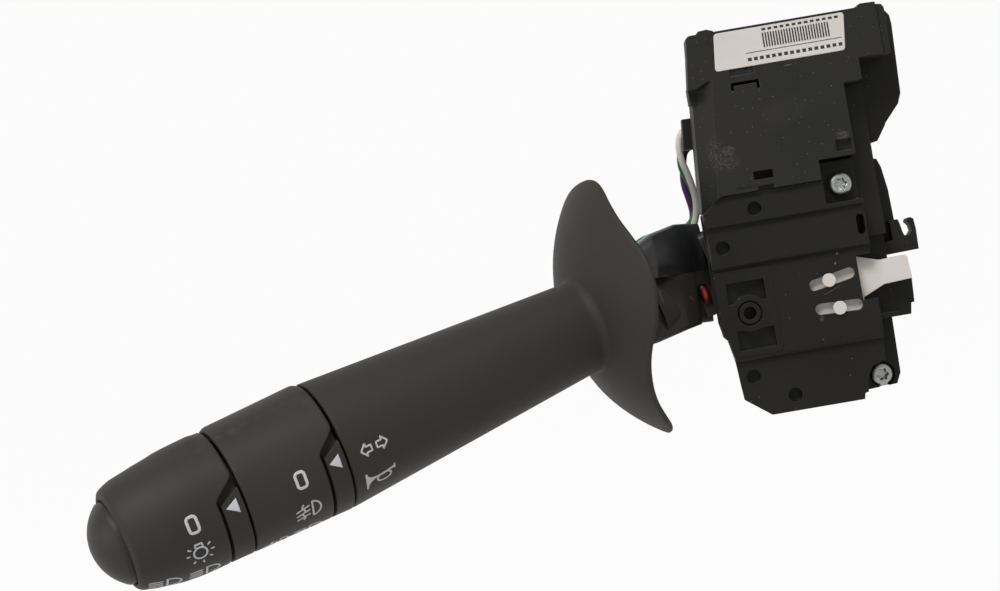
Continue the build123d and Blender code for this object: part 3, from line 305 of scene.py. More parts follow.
def placed_mark_group():
    """One placed mark, used for wear, painted shade and painted highlights: 1 inside an ellipse of given centre,
    half size and turn about y, broken by noise.
    """
    tree, given, made = new_group("placed_mark", [
        ("NodeSocketVector", "Centre", (0.0, 0.0, 0.0)),
        ("NodeSocketVector", "Half Size", (0.001, 0.01, 0.001)),
        ("NodeSocketFloat", "Turn", 0.0), ("NodeSocketFloat", "Softness", 0.5),
        ("NodeSocketFloat", "Broken", 0.0), ("NodeSocketFloat", "Strength", 1.0),
    ], [("NodeSocketFloat", "Mask")])
    place = add_node(tree, "ShaderNodeTexCoord").outputs["Object"]
    away = add_node(tree, "ShaderNodeVectorMath", {
        0: place, 1: given.outputs["Centre"]}, operation="SUBTRACT")
    turned = add_node(tree, "ShaderNodeVectorRotate", {
        "Vector": away.outputs[0], "Angle": given.outputs["Turn"]}, rotation_type="Y_AXIS")
    scaled = add_node(tree, "ShaderNodeVectorMath", {
        0: turned.outputs["Vector"], 1: given.outputs["Half Size"]}, operation="DIVIDE")
    far = add_node(tree, "ShaderNodeVectorMath", {0: scaled.outputs[0]}, operation="LENGTH")
    inner = calculate(tree, "SUBTRACT", 1.0, given.outputs["Softness"])
    mask = map_range(tree, far.outputs["Value"], inner, 1.0, 1.0, 0.0, interpolation_type="SMOOTHSTEP")
    flecks = add_node(tree, "ShaderNodeTexNoise", {
        "Vector": place, "Scale": 2400.0, "Detail": 3.0, "Roughness": 0.7})
    shown = map_range(tree, flecks.outputs["Fac"], 0.45, 0.62)
    kept = add_node(tree, "ShaderNodeMix", {0: given.outputs["Broken"], 2: 1.0, 3: shown}, data_type="FLOAT")
    both = calculate(tree, "MULTIPLY", mask, kept.outputs[0])
    tree.links.new(calculate(tree, "MULTIPLY", both, given.outputs["Strength"]), made.inputs["Mask"])
    return tree


GROUPS = {"grain": moulded_grain_group(), "dust": dust_specks_group(), "edge": soft_edge_group(),
          "mark": placed_mark_group()}


def linear(red, green, blue):
    """Linear colour of an sRGB colour given from 0 to 255."""
    share = np.array([red, green, blue]) / 255
    value = np.where(share <= 0.04045, share / 12.92, ((share + 0.055) / 1.055) ** 2.4)
    return (*value.tolist(), 1.0)


def new_material(name):
    """A material with its Principled shader and a place for its groups."""
    material = bpy.data.materials.new(name)
    material.use_nodes = True
    tree = material.node_tree
    return material, tree, tree.nodes["Principled BSDF"]


def use_group(tree, key, **values):
    """One of the shared groups, placed in a material with its own values."""
    inputs = {label.replace("_", " "): value for label, value in values.items()}
    return add_node(tree, "ShaderNodeGroup", inputs, node_tree=GROUPS[key])


def mix_colour(tree, share, first, second):
    """A colour mix: each of share, first and second is a socket or a plain value."""
    return add_node(tree, "ShaderNodeMix", {0: share, 6: first, 7: second}, data_type="RGBA").outputs[2]


def moulded_plastic(name, colour, paler, rough, grain_size=2600.0, grain_depth=0.00002, cloud_size=45.0,
                    edge_radius=0.0003, edge_colour=None, dust=0.0, dust_size=1100.0, marks=(), gloss=0.25):
    """Moulded plastic: clouded colour, fine grain, softened edges with a painted highlight, dust specks, and
    placed marks that are wear, painted shade and painted highlights.

    A mark is (x, z, half width, half height, turn in degrees, colour, strength, broken) in millimetres.
    """
    material, tree, shader = new_material(name)
    grain = use_group(tree, "grain", Grain_Size=grain_size, Cloud_Size=cloud_size)
    edge = use_group(tree, "edge", Edge_Radius=edge_radius)
    cloud = map_range(tree, grain.outputs["Cloud"], 0.35, 0.65)
    painted = mix_colour(tree, cloud, linear(*colour), linear(*paler))
    # Edges painted paler: a painted highlight along the rounded edges
    painted = mix_colour(tree, edge.outputs["Edge"], painted, linear(*(edge_colour or paler)))
    if dust:
        specks = use_group(tree, "dust", Speck_Density=dust_size, Speck_Reach=0.1, Share=dust)
        painted = mix_colour(tree, specks.outputs["Mask"], painted, linear(*dust_colour))
    for x, z, half_width, half_height, turn, mark_colour, strength, broken in marks:
        mark = use_group(tree, "mark", Centre=(x * MM, -cover_depth * MM, z * MM),
                         Half_Size=(half_width * MM, mark_reach * MM, half_height * MM),
                         Turn=np.radians(turn), Softness=0.6, Broken=broken, Strength=strength)
        painted = mix_colour(tree, mark.outputs["Mask"], painted, linear(*mark_colour))
    tree.links.new(painted, shader.inputs["Base Color"])
    roughness = map_range(tree, grain.outputs["Cloud"], 0.3, 0.7, rough - 0.06, rough + 0.06)
    tree.links.new(roughness, shader.inputs["Roughness"])
    bump = add_node(tree, "ShaderNodeBump", {
        "Strength": 0.6, "Distance": grain_depth,
        "Height": grain.outputs["Height"], "Normal": edge.outputs["Normal"]})
    tree.links.new(bump.outputs["Normal"], shader.inputs["Normal"])
    shader.inputs["Specular IOR Level"].default_value = gloss
    return material


def plated_metal(name, colour, rough):
    """Plated or drawn metal: fine uneven polish and softened edges."""
    material, tree, shader = new_material(name)
    grain = use_group(tree, "grain", Grain_Size=5200.0, Cloud_Size=700.0)
    edge = use_group(tree, "edge", Edge_Radius=0.00012)
    paler = tuple(min(255, value + 22) for value in colour)
    painted = mix_colour(tree, grain.outputs["Cloud"], linear(*colour), linear(*paler))
    tree.links.new(painted, shader.inputs["Base Color"])
    roughness = map_range(tree, grain.outputs["Height"], 0.3, 0.7, rough - 0.08, rough + 0.08)
    tree.links.new(roughness, shader.inputs["Roughness"])
    tree.links.new(edge.outputs["Normal"], shader.inputs["Normal"])
    shader.inputs["Metallic"].default_value = 1.0
    return material


# Near-black for painted shade: shadows under steps, shade in wells, openings and recesses, and in the gap beside
# the neck
shade = (11, 11, 9)
CASE_MARKS = (
    (18.3, 1.9, 2.6, 0.22, 22, (96, 92, 85), 0.7, 0.5),
    (15.0, -3.8, 0.6, 0.9, -20, (92, 88, 80), 0.7, 0.5),
    (20.5, 9.4, 0.35, 0.35, 0, (120, 116, 108), 0.8, 0),
    (19.8, 7.4, 0.3, 0.4, 0, (112, 108, 100), 0.8, 0),
    # A painted highlight along the case's left edge
    (-6.5, 14.4, 0.3, 4.0, 0, (86, 84, 78), 0.6, 0.3),
    # Painted shadows below the steps between the front's levels
    (8.6, 24.7, 13.0, 0.6, 0, shade, 0.8, 0),
    (9.6, 18.55, 17.0, 0.75, 0.8, shade, 0.85, 0),
    (10.2, 10.15, 19.0, 0.8, 0.2, shade, 0.85, 0),
    (11.8, -10.0, 19.0, 0.85, -0.6, shade, 0.85, 0),
    # Painted shade in the four wells
    (4.5, 21.9, 2.2, 1.9, 0, shade, 0.95, 0),
    (-3.6, 14.6, 2.2, 1.9, 0, shade, 0.95, 0),
    (-1.6, -13.7, 2.2, 1.9, 0, shade, 0.95, 0),
    (6.8, -18.95, 2.2, 1.9, 0, shade, 0.95, 0),
    # Painted shade in the two openings
    (-0.1, 5.5, 4.2, 2.2, 0, shade, 0.8, 0),
    (0.6, -6.2, 4.2, 2.0, 0, shade, 0.8, 0),
)
COVER_MARKS = (
    (0.6, 32.3, 3.2, 2.6, 0, (84, 62, 56), 0.75, 1.0),
    (0.9, 34.8, 1.9, 1.3, 0, (96, 90, 84), 0.6, 0.8),
    (-1.8, 34.5, 2.2, 5.0, 0, (78, 76, 71), 0.6, 1.0),
    (25.3, 34.0, 1.8, 1.3, 0, (92, 88, 78), 0.6, 0.8),
    (16.4, 50.6, 1.1, 0.14, 2, (110, 107, 100), 0.8, 0.3),
    (14.0, 41.0, 7.0, 4.0, 12, (50, 49, 47), 0.4, 0.6),
    # Painted shade: a small recess, under the left lug and near the cover's lower edge
    (24.6, 31.6, 2.2, 1.3, 0, shade, 0.7, 0),
    (-3.6, 47.2, 3.0, 1.9, -20, shade, 0.9, 0),
    (3.3, 26.5, 3.2, 0.5, 0, shade, 0.6, 0),
)

NECK_MARKS = (
    # Painted highlights: a bright line along the split, partly a scratch, and a short upright streak
    (-16.1, 10.7, 1.9, 0.3, -15, (104, 100, 94), 0.75, 0.4),
    (-18.3, 6.8, 0.3, 2.6, 8, (92, 88, 82), 0.6, 0.4),
    (-11.4, 5.2, 0.4, 1.0, 30, (88, 84, 78), 0.5, 0.3),
    # Painted shade in the gap between the neck and the housing, and a painted dark band on the hood above the
    # split
    (-9.1, 15.0, 1.7, 7.5, 2, shade, 0.9, 0),
    (-17.0, 12.6, 6.0, 1.0, -4, (20, 20, 19), 0.7, 0),
)
# The red stop is dark red as if in shade, with its front painted bright orange-red as if lit
STOP_MARKS = ((-7.95, 5.6, 0.75, 2.1, 10, (214, 66, 30), 1.0, 0),)

FINISHES = {
    "lever_plastic": moulded_plastic("lever_plastic", (44, 41, 37), (48, 45, 41), 0.62),
    "shell": moulded_plastic("lever_shell_plastic", (45, 42, 38), (49, 46, 42), 0.62, edge_radius=0.0002,
                             dust=0.006, dust_size=500.0),
    "rings": moulded_plastic("ring_plastic", (46, 42, 39), (51, 47, 43), 0.6, edge_radius=0.0002, dust=0.006,
                             dust_size=500.0),
    "cap": moulded_plastic("cap_plastic", (45, 42, 38), (49, 46, 42), 0.5, edge_radius=0.0002),
    "case_plastic": moulded_plastic("case_plastic", (23, 22, 19), (28, 27, 24), 0.5, dust=0.05, gloss=0.18,
                                    edge_colour=(46, 44, 40), marks=CASE_MARKS),
    "cover_plastic": moulded_plastic("cover_plastic", (31, 31, 29), (36, 35, 33), 0.55, dust=0.3,
                                     dust_size=1500.0, gloss=0.2, edge_colour=(58, 57, 53),
                                     marks=COVER_MARKS),
    "neck_plastic": moulded_plastic("neck_plastic", (36, 35, 31), (42, 40, 36), 0.42,
                                    edge_colour=(52, 50, 46), marks=NECK_MARKS),
    "neck_gloss": moulded_plastic("neck_gloss", (36, 37, 38), (41, 41, 41), 0.34,
                                  edge_colour=(50, 50, 49), gloss=0.4, marks=NECK_MARKS),
    # Near-black as painted shade, for the neck's root in the dark window behind the red stop
    "neck_shade": moulded_plastic("neck_shade", (17, 16, 15), (20, 19, 18), 0.5, gloss=0.2),
    "white_nylon": moulded_plastic("white_nylon", (212, 205, 198), (220, 214, 207), 0.45,
                                   edge_colour=(226, 222, 216)),
    "white_print": moulded_plastic("white_print", (200, 201, 205), (208, 209, 212), 0.6,
                                   grain_depth=fine_grain),
    "label_paper": moulded_plastic("label_paper", (208, 202, 195), (216, 210, 203), 0.55,
                                   grain_depth=fine_grain),
    "label_ink": moulded_plastic("label_ink", (40, 38, 36), (62, 58, 55), 0.6, grain_depth=fine_grain),
    "red_plastic": moulded_plastic("red_plastic", (54, 14, 10), (64, 18, 13), 0.35, marks=STOP_MARKS),
    "steel": plated_metal("steel", (150, 152, 150), 0.42),
    "spring_steel": plated_metal("spring_steel", (150, 150, 150), 0.35),
    "contact_metal": plated_metal("contact_metal", (196, 164, 104), 0.3),
    "board": moulded_plastic("board", (120, 88, 50), (130, 98, 58), 0.55),
    "wire_white": moulded_plastic("wire_white", (214, 208, 200), (222, 217, 210), 0.45),
    "wire_green": moulded_plastic("wire_green", (40, 110, 60), (50, 122, 70), 0.45),
    "wire_purple": moulded_plastic("wire_purple", (84, 50, 90), (94, 58, 100), 0.45),
}
OWN_FINISHES = {"neck_cover": "neck_gloss"}

for subpart in frame["record"]["subparts"]:
    node = frame["nodes"][subpart["node"]]
    node.data.materials.clear()
    node.data.materials.append(FINISHES[OWN_FINISHES.get(subpart["node"], subpart["material_slot"])])


# Lever shell: the shroud and the tube as one moulding

# The shroud's edge on the outer ball: height above the pivot, and distance away from the driver
shroud_near = [(-26.6, 2.5), (-26.1, -0.3), (-24.9, -2.7), (-22.9, -4.9), (-18.7, -8.5), (-13.8, -12.8),
               (-9.1, -16.9), (-5.8, -19.9), (-2.1, -23.0), (1.2, -24.4), (3.9, -25.1), (7.4, -25.2),
               (10.8, -24.5), (16.0, -21.8), (20.3, -18.6), (25.1, -14.4), (27.4, -12.0), (29.2, -9.4),
               (30.3, -6.9), (31.0, -3.9), (31.2, -0.5)]
shroud_far = [(31.2, -0.5), (30.9, 4.0), (29.4, 9.4), (24.1, 15.6), (11.6, 23.1), (2.0, 23.4), (-11.4, 14.5),
              (-18.7, 8.5), (-26.6, 2.5)]


def shroud_edge(angle):
    """How far the shroud's edge is from the lever's axis, at each angle round it."""
    edge = np.vstack([smooth_line(shroud_near, 160), smooth_line(shroud_far, 160)]) - (axis_rise, 0)
    turn = np.arctan2(-edge[:, 1], edge[:, 0])
    order = np.argsort(turn)
    return np.interp(angle, turn[order], np.hypot(edge[:, 0], edge[:, 1])[order], period=2 * np.pi)


def on_ball(ball, distance, angle):
    """Stations of a ball about the pivot: the root of its radius squared less the offsets squared."""
    across = (ball_drop + distance * np.cos(angle)) ** 2 + (distance * np.sin(angle)) ** 2
    return np.sqrt(ball**2 - across) - pivot_to_tube


def lever_shell_grid():
    """Rows of one section at each angle: edge round, ball, a quadratic curve into the tube, wall, and back.

    The curve's weights (1-t)^2, 2t(1-t) and t^2 are on the ball's point, the corner and the tube's point.
    """
    angle = np.linspace(-np.pi, np.pi, turn_columns, endpoint=False)
    edge = shroud_edge(angle)
    half = shroud_wall / 2
    bead = np.linspace(np.pi, 0, 9)[:, None]
    ball = shroud_radius - half + half * np.cos(bead)
    reach = (edge - half + half * np.sin(bead)) * ball / shroud_radius
    rows = [(on_ball(ball, reach, angle), reach)]

    spread = 0.9 + 0.8 * np.sin(angle) ** 2
    start = tube_radius(-1.0) + spread
    share = np.linspace(0, 1, 16)[1:, None]
    reach = (edge - half) + (start - edge + half) * share
    rows.append((on_ball(shroud_radius, reach, angle), reach))

    t = np.linspace(0, 1, 15)[1:, None]
    corner = tube_radius(-1.0)
    corner_at = on_ball(shroud_radius, corner, angle)
    landing = corner_at + 1.35 * spread
    start_at = on_ball(shroud_radius, start, angle)
    station = (1 - t) ** 2 * start_at + 2 * t * (1 - t) * corner_at + t**2 * landing
    radius = (1 - t) ** 2 * start + 2 * t * (1 - t) * corner + t**2 * tube_radius(landing)
    rows.append((station, radius))

    end = tube_length - open_groove
    share = np.linspace(0, 1, 22)[1:, None]
    station = landing + (end - edge_round - landing) * share
    rows.append((station, tube_radius(station)))
    quarter = np.linspace(0, np.pi / 2, 6)[1:, None]
    rows.append((end - edge_round * (1 - np.sin(quarter)),
                 tube_radius(end) - edge_round * (1 - np.cos(quarter))))
    inner_end = end + 0 * angle
    rows.append((inner_end[None, :], tube_radius(end) - tube_wall + 0 * angle[None, :]))

    bore = tube_radius(-1.0) - tube_wall
    bottom = on_ball(shroud_radius - shroud_wall, bore, angle)
    share = np.linspace(0, 1, 10)[1:, None]
    station = inner_end + (bottom - inner_end) * share
    rows.append((station, np.maximum(tube_radius(station) - tube_wall, bore)))
    inside = (edge - half) * (shroud_radius - shroud_wall) / shroud_radius
    reach = bore + (inside - bore) * np.linspace(0, 1, 12)[1:-1, None]
    rows.append((on_ball(shroud_radius - shroud_wall, reach, angle), reach))
    wide = [np.broadcast_arrays(station, radius, angle[None, :]) for station, radius in rows]
    return on_lever(*(np.vstack([row[part] for row in wide]) for part in range(3)))


add_piece(surface("lever_shell", lever_shell_grid(), True, True),
          "lever", "shell", ("shroud", "stalk_tube"))


# Turning rings: one closed shell each, with the skirt over its marker band and the raised grip on top

notch_top, notch_end, skirt_end = np.radians((74.0, 95.5, 210.0))


def dent(station, angle, at, turn, size, depth):
    """A round dip: the depth times exp of minus the squared distance over the squared size."""
    away = (station - at) ** 2 + (ring_radius(station) * (angle - np.radians(turn))) ** 2
    return -depth * np.exp(-away / size**2)


def fog_relief(station, angle):
    """The fog ring's grip: a low step round the top with soft ends and two dips at its corners."""
    turn = np.abs(np.degrees(angle))
    edge = 34.0 + 2.5 * step(70, 80, station)
    grip = 0.4 * step(edge + 3.5, edge - 3.5, turn) * step(61.6, 62.9, station) * step(83.2, 82.0, station)
    return (grip + dent(station, angle, 64.0, 45.0, 1.3, 0.32) + dent(station, angle, 79.4, 42.0, 1.5, 0.22)
            + 0.05 * np.sin(station * 2.1) * step(edge + 5, edge, turn) * step(edge - 8, edge, turn))


def light_relief(station, angle):
    """The light ring's grip: a soft step round the top that sinks towards the rim."""
    turn = np.abs(np.degrees(angle))
    edge = 25.0 + 0.45 * (station - 86.0)
    on_top = step(edge + 5, edge - 5, turn) * step(84.4, 86.5, station)
    height = 0.28 - 0.35 * np.exp(-((station - 98.0) / 5.5) ** 2)
    return (on_top * height * step(rim_at - 0.4, rim_at - 4, station)
            + dent(station, angle, 86.5, 36.0, 1.5, 0.35)
            - 0.35 * step(96, 106, station) * step(100, 150, turn))


def ring_grid(band_at, band_width, end, outline, relief):
    """Rows of a ring's section at each angle, from its start, on the skirt where it has one, to the rim.

    The start is band_at where the skirt covers the band. It runs in an S to the band's far side between
    notch_top and notch_end, and stays there as far as skirt_end.
    """
    knots = np.array([0, notch_top, notch_end, skirt_end, skirt_end + 0.002, 2 * np.pi])
    angle = np.concatenate([np.linspace(low, high, count, endpoint=False) for low, high, count in
                            zip(knots[:-1], knots[1:], (70, 40, 84, 1, 90))])
    inset = (band_width + 0.05) * step(notch_top, notch_end, angle) * (angle < skirt_end + 0.001)
    start = band_at + open_groove + inset
    turn = (angle + np.pi) % (2 * np.pi) - np.pi
    soft = edge_round
    quarter = np.linspace(0, np.pi / 2, 5)[:, None]
    first, last = start + soft, end - soft
    station = np.vstack([start + soft * (1 - np.cos(quarter)),
                         first + (last - first) * np.linspace(0, 1, 46)[1:-1, None],
                         end - soft * (1 - np.sin(quarter)) + 0 * angle])
    height = outline(station) + relief(station, turn)
    height[:5] -= soft * (1 - np.sin(quarter))
    height[-5:] -= soft * (1 - np.cos(quarter))
    back = start + (end - start) * np.linspace(1, 0, 12)[:, None]
    depth = outline(back) - skirt_wall
    rows = np.vstack([station, back]), np.vstack([height, np.minimum(depth, depth[:1] + 4)])
    return on_lever(rows[0], rows[1], angle)


def light_outline(station):
    """The skirt's even taper up to the ring's own start, and the barrel after it."""
    return np.where(station < light_ring_at, ring_radius(station), barrel_radius(station))


fog_shell = ring_grid(fog_band_at, fog_band_width, light_band_at - open_groove, ring_radius, fog_relief)
light_shell = ring_grid(light_band_at, light_band_width, rim_at - 0.6, light_outline, light_relief)
for node_name, shell in (("fog_ring", fog_shell), ("light_ring", light_shell)):
    mesh = surface(f"{node_name}_shell", shell, True, True)
    add_piece(mesh, node_name, "rings", (node_name,))

lip = rounded([(rim_at - 4.0, 9.7), (rim_at - 1.2, 10.5), (rim_at - 0.75, 10.2), (rim_at - 0.3, 9.7),
               (rim_at - 0.5, mouth_radius), (rim_at - 3.8, mouth_radius)])
add_piece(surface("light_ring_lip", turned_grid(lip), True, True), "light_ring", "rings")


def cap_profile():
    """The horn cap: a ball's arc over the rim, a rounded edge, the skirt, and back under the cap."""
    across = np.linspace(0, button_radius - 0.5, 22)
    ball = (button_radius**2 + button_dome**2) / (2 * button_dome)
    dome = rim_at + 0.35 + button_dome - ball + np.sqrt(ball**2 - across**2)
    edge = rounded([(dome[-1], across[-1]), (rim_at + 0.35, button_radius), (rim_at - 3.6, button_radius)])
    under = [(rim_at - 3.6, button_radius - 1.6), (rim_at - 1.2, button_radius - 1.6), (rim_at - 1.2, 0)]
    return np.vstack([np.column_stack([dome, across])[:-1], edge, under])


add_piece(surface("horn_cap", turned_grid(cap_profile()), True, True),
          "horn_button", "cap", ("horn_button",))


# Skins of the neck: the hood with its kink, the lower half and the root behind the red stop

neck_split = 10.75


def neck_grid(stations, crown, front, back, corner):
    """Sections across x, with values even between the stations: flat at the split, rounded towards the crown.

    A corner is a quarter turn: corner * cos(t) in depth and corner * sin(t) in height.
    """
    x = np.linspace(stations[0], stations[-1], 40)[:, None]
    rising = -np.array(stations)
    crown, front, back = (np.interp(-x, rising, values) for values in (crown, front, back))
    way = np.sign(crown[0, 0] - neck_split)
    quarter = np.linspace(0, np.pi / 2, 9)
    inset, rise = corner * (1 - np.cos(quarter)), corner * np.sin(quarter)
    height = crown - way * (corner - rise)
    split = np.full_like(x, neck_split)
    z = np.hstack([split, height, height[:, ::-1], split])
    depth = np.hstack([front, front - inset, (back + inset)[:, ::-1], back])
    grid = np.stack([np.broadcast_to(x, z.shape), -depth, z], axis=-1)
    ends = [np.broadcast_to(section.mean(axis=0), section.shape)[None] for section in (grid[0], grid[-1])]
    return np.concatenate([ends[0], grid, ends[1]])


hood = neck_grid((-6.9, -10.0, -12.6, -18.3, -24.0), (20.8, 21.35, 21.55, 20.3, 17.2),
                 (22.9, 24.0, 26.6, 32.0, 34.0), (8.1, 7.2, 8.5, 11.7, 14.8), 3.6)
lower = neck_grid((-10.0, -13.3, -20.5, -25.0), (-0.75, -1.3, -2.85, -3.4),
                  (24.4, 27.3, 32.1, 34.0), (7.4, 9.0, 13.0, 15.4), 1.2)
# The root's skin is painted near-black as shade behind the red stop
root = neck_grid((-6.9, -10.95), (-0.75, -0.6), (19.3, 19.3), (8.1, 8.1), 2.0)
for piece_name, grid, finish, replaced in (
    ("neck_hood", hood, "neck_gloss", ("neck_cover",)),
    ("neck_lower", lower, "neck_plastic", ()),
    ("neck_root", root, "neck_shade", ()),
):
    add_piece(surface(piece_name, grid, False, True), "lever", finish, replaced)


# Red stop beside the neck's root, screws and wires

def dome_grid(centre, half_width, half_height, turn, base_depth, front_depth):
    """A cushion-shaped block: |x|^n + |z|^n rings that shrink towards the front along a quarter round."""
    round_about = np.linspace(0, 2 * np.pi, 48, endpoint=False)
    fullness, front_round = 2.6, 0.7
    power = 2 / fullness
    x = np.sign(np.cos(round_about)) * np.abs(np.cos(round_about)) ** power * half_width
    z = np.sign(np.sin(round_about)) * np.abs(np.sin(round_about)) ** power * half_height
    quarter = np.linspace(0, np.pi / 2, 10)
    size = np.concatenate([[0, 1], np.cos(quarter)])
    depth = np.concatenate([[base_depth] * 2, front_depth - front_round * (1 - np.sin(quarter))])
    x, z = (x * np.cos(turn) - z * np.sin(turn)), (x * np.sin(turn) + z * np.cos(turn))
    return np.stack(np.broadcast_arrays(centre[0] + size[:, None] * x, -depth[:, None],
                                        centre[1] + size[:, None] * z), axis=-1)


red_stop = dome_grid((-8.0, 5.5), 1.15, 2.25, np.radians(14), 19.4, 20.9)
add_piece(surface("red_stop", red_stop, False, True), "lever", "red_plastic", ("stop_block",))


def screw_grid(x, z, depth):
    """A pan head with a six-lobe recess: its radius is 1.14 + 0.22 cos 6a, fading to round at the rim."""
    around = np.linspace(0, 2 * np.pi, 72, endpoint=False)
    lobes = np.cos(6 * around)
    # Radius, depth of the lobes, height above the seat
    rows = ((0, 0, -1.15), (0.7, 0.1, -1.15), (1.05, 0.2, -1.1), (1.12, 0.22, -0.95), (1.14, 0.22, -0.1),
            (1.2, 0.2, 0.0), (1.5, 0.05, 0.0), (1.9, 0, -0.06), (2.25, 0, -0.24), (2.42, 0, -0.5),
            (2.45, 0, -0.8), (2.45, 0, -1.9), (1.5, 0, -1.95), (1.5, 0, -11.0), (1.1, 0, -12.6), (0, 0, -13.0))
    radius = np.array([base + swing * lobes for base, swing, sink in rows])
    sink = np.array([row[2] for row in rows])[:, None]
    return np.stack(np.broadcast_arrays(x + radius * np.cos(around), -(depth + sink),
                                        z + radius * np.sin(around)), axis=-1)


for number, place in enumerate(((23.95, 24.0, 27.5), (27.7, -18.4, 17.0))):
    screw = surface(f"case_screw_{number + 1}", screw_grid(*place), False, True)
    add_piece(screw, "housing", "steel", ("case_screws",) if number == 0 else ())


def along(station, above, away):
    """A point given by its station along the lever and its offsets from the lever's axis."""
    return tuple(tube_base + toward_tip * station + lever_up * above - toward_driver * away)


def wire_grid(points, radius):
    """A round wire: a circle carried along the smoothed line, square to it, and closed at both ends."""
    line = rounded(points, 4)
    heading = np.gradient(line, axis=0)
    heading /= np.linalg.norm(heading, axis=1)[:, None]
    side = np.cross(heading, (0.0, 1.0, 0.0))
    side /= np.linalg.norm(side, axis=1)[:, None]
    over = np.cross(side, heading)
    around = np.linspace(0, 2 * np.pi, wire_columns, endpoint=False)[None, :, None]
    ring = line[:, None] + radius * (np.cos(around) * side[:, None] + np.sin(around) * over[:, None])
    ends = [np.repeat(line[at, None], wire_columns, axis=1) for at in (slice(0, 1), slice(-1, None))]
    return np.concatenate([ends[0], ring, ends[1]])


# Radius, points from the housing to the neck, points from the neck into the lever
WIRES = {
    "wire_white": (0.75, [(-3.0, -12.4, 42.2), (-6.8, -12.4, 41.8), (-7.7, -11.6, 37.0), (-5.9, -9.2, 31.0),
                          (-5.1, -7.4, 26.4), (-5.6, -5.8, 22.4), (-8.2, -3.9, 17.5), (-13.5, -5.2, 13.5)],
                   [(-13.5, -5.2, 13.5), (-20.5, -10.5, 10.8), along(-10, 0.8, 6.0), along(-3.0, 0.95, 0.6),
                    along(8, 0.95, 0.2), along(40, 0.95, 0.0), along(88, 0.95, 0.0)]),
    "wire_green": (0.6, [(-3.0, -10.4, 40.2), (-6.8, -10.2, 39.0), (-7.8, -8.8, 34.6), (-6.4, -7.4, 31.0),
                         (-5.3, -6.0, 27.6), (-5.4, -4.6, 23.6), (-8.0, -4.4, 20.6), (-12.6, -5.0, 19.8)],
                   [(-12.6, -5.0, 19.8), (-20.2, -7.8, 20.2), along(-9.6, 3.0, 7.4), along(-2.0, -0.5, 1.9),
                    along(9, -0.5, 0.9), along(40, -0.5, 0.8), along(68, -0.45, 0.8)]),
    "wire_purple": (0.75, [(-3.0, -8.4, 38.6), (-6.0, -8.0, 37.9), (-6.8, -6.6, 34.0), (-7.2, -5.6, 30.4),
                           (-6.4, -4.4, 26.8), (-5.8, -3.2, 23.0), (-8.2, -2.2, 17.5), (-13.8, -2.4, 11.4)],
                    [(-13.8, -2.4, 11.4), (-20.2, -8.6, 8.6), along(-10.5, -1.4, 7.2),
                     along(-4.0, -0.8, -0.6), along(8, -0.5, -0.85), along(40, -0.5, -0.9),
                     along(91, -0.5, -0.9)]),
}
for wire_name, (radius, outside, within) in WIRES.items():
    for share, points, bodies, start, end in (
        ("outlet", outside, ("housing", "cradle"), outside[2], outside[-2]),
        ("inlet", within, ("cradle", "lever"), within[0], within[2]),
    ):
        mesh = surface(f"{wire_name}_{share}", wire_grid(points, radius), False, True)
        piece = link(mesh, FINISHES[wire_name])
        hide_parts(wire_name)
        start, end = (tuple(MM * value for value in point) for point in (start, end))
        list(bodies)
        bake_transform(piece)
        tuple(start)
        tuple(end)


# Prints: thin raised strokes and fillings. A mark's axes run towards the housing and the lever's top

print_rise, print_sink = 0.035, 0.06


def circle(centre, half_width, half_height, count=28):
    """A closed ellipse as points."""
    around = np.linspace(0, 2 * np.pi, count + 1)
    return np.column_stack([half_width * np.cos(around), half_height * np.sin(around)]) + centre


def round_box(half_width, half_height, corner):
    """A closed box with rounded corners as points: four quarter circles joined by its sides."""
    quarter = np.linspace(0, np.pi / 2, 7)
    arcs = [np.column_stack([x * (half_width - corner) + corner * np.cos(quarter + turn),
                             z * (half_height - corner) + corner * np.sin(quarter + turn)])
            for x, z, turn in ((1, 1, 0), (-1, 1, np.pi / 2), (-1, -1, np.pi), (1, -1, 3 * np.pi / 2))]
    points = np.vstack(arcs)
    return np.vstack([points, points[:1]])


def dense(points, gap=0.14):
    """The same line with a point at least every gap."""
    points = np.asarray(points, float)
    far = run_lengths(points)
    at = np.unique(np.concatenate([far, np.linspace(0, far[-1], max(3, int(far[-1] / gap)))]))
    return np.column_stack([np.interp(at, far, points[:, axis]) for axis in range(2)])


def stroke_strip(points, width):
    """Both edges of a stroke: its line moved half a width to either side, with rounded ends where open."""
    points = dense(points)
    closed = np.allclose(points[0], points[-1])
    heading = np.gradient(points, axis=0)
    if closed:
        heading[0] = heading[-1] = points[1] - points[-2]
    heading /= np.linalg.norm(heading, axis=1)[:, None]
    side = np.column_stack([-heading[:, 1], heading[:, 0]])
    half = np.full(len(points), width / 2)
    if not closed:
        far = run_lengths(points)
        near_end = np.clip(np.minimum(far, far[-1] - far) / (width / 2), 0, 1)
        half = half * np.sqrt(np.clip(1 - (1 - near_end) ** 2, 0.03, 1))
    return points - side * half[:, None], points + side * half[:, None]


def fill_strip(first, second):
    """The strip between two lines, each brought to the same number of points."""
    share = np.linspace(0, 1, 16)
    lines = []
    for points in (first, second):
        points = np.asarray(points, float)
        far = run_lengths(points)
        far = far / far[-1]
        lines.append(np.column_stack([np.interp(share, far, points[:, axis]) for axis in range(2)]))
    return tuple(lines)


def strip_grid(strip, place):
    """A strip as a thin closed bar: low, high, high, high and low across it, set on its carrier by place."""
    first, second = strip
    shares = np.array([0.0, 0.04, 0.5, 0.96, 1.0])[None, :, None]
    flat = first[:, None] + (second - first)[:, None] * shares
    lift = np.array([-print_sink, print_rise, print_rise, print_rise, -print_sink])
    return place(flat[..., 0], flat[..., 1], np.broadcast_to(lift, flat.shape[:2]))


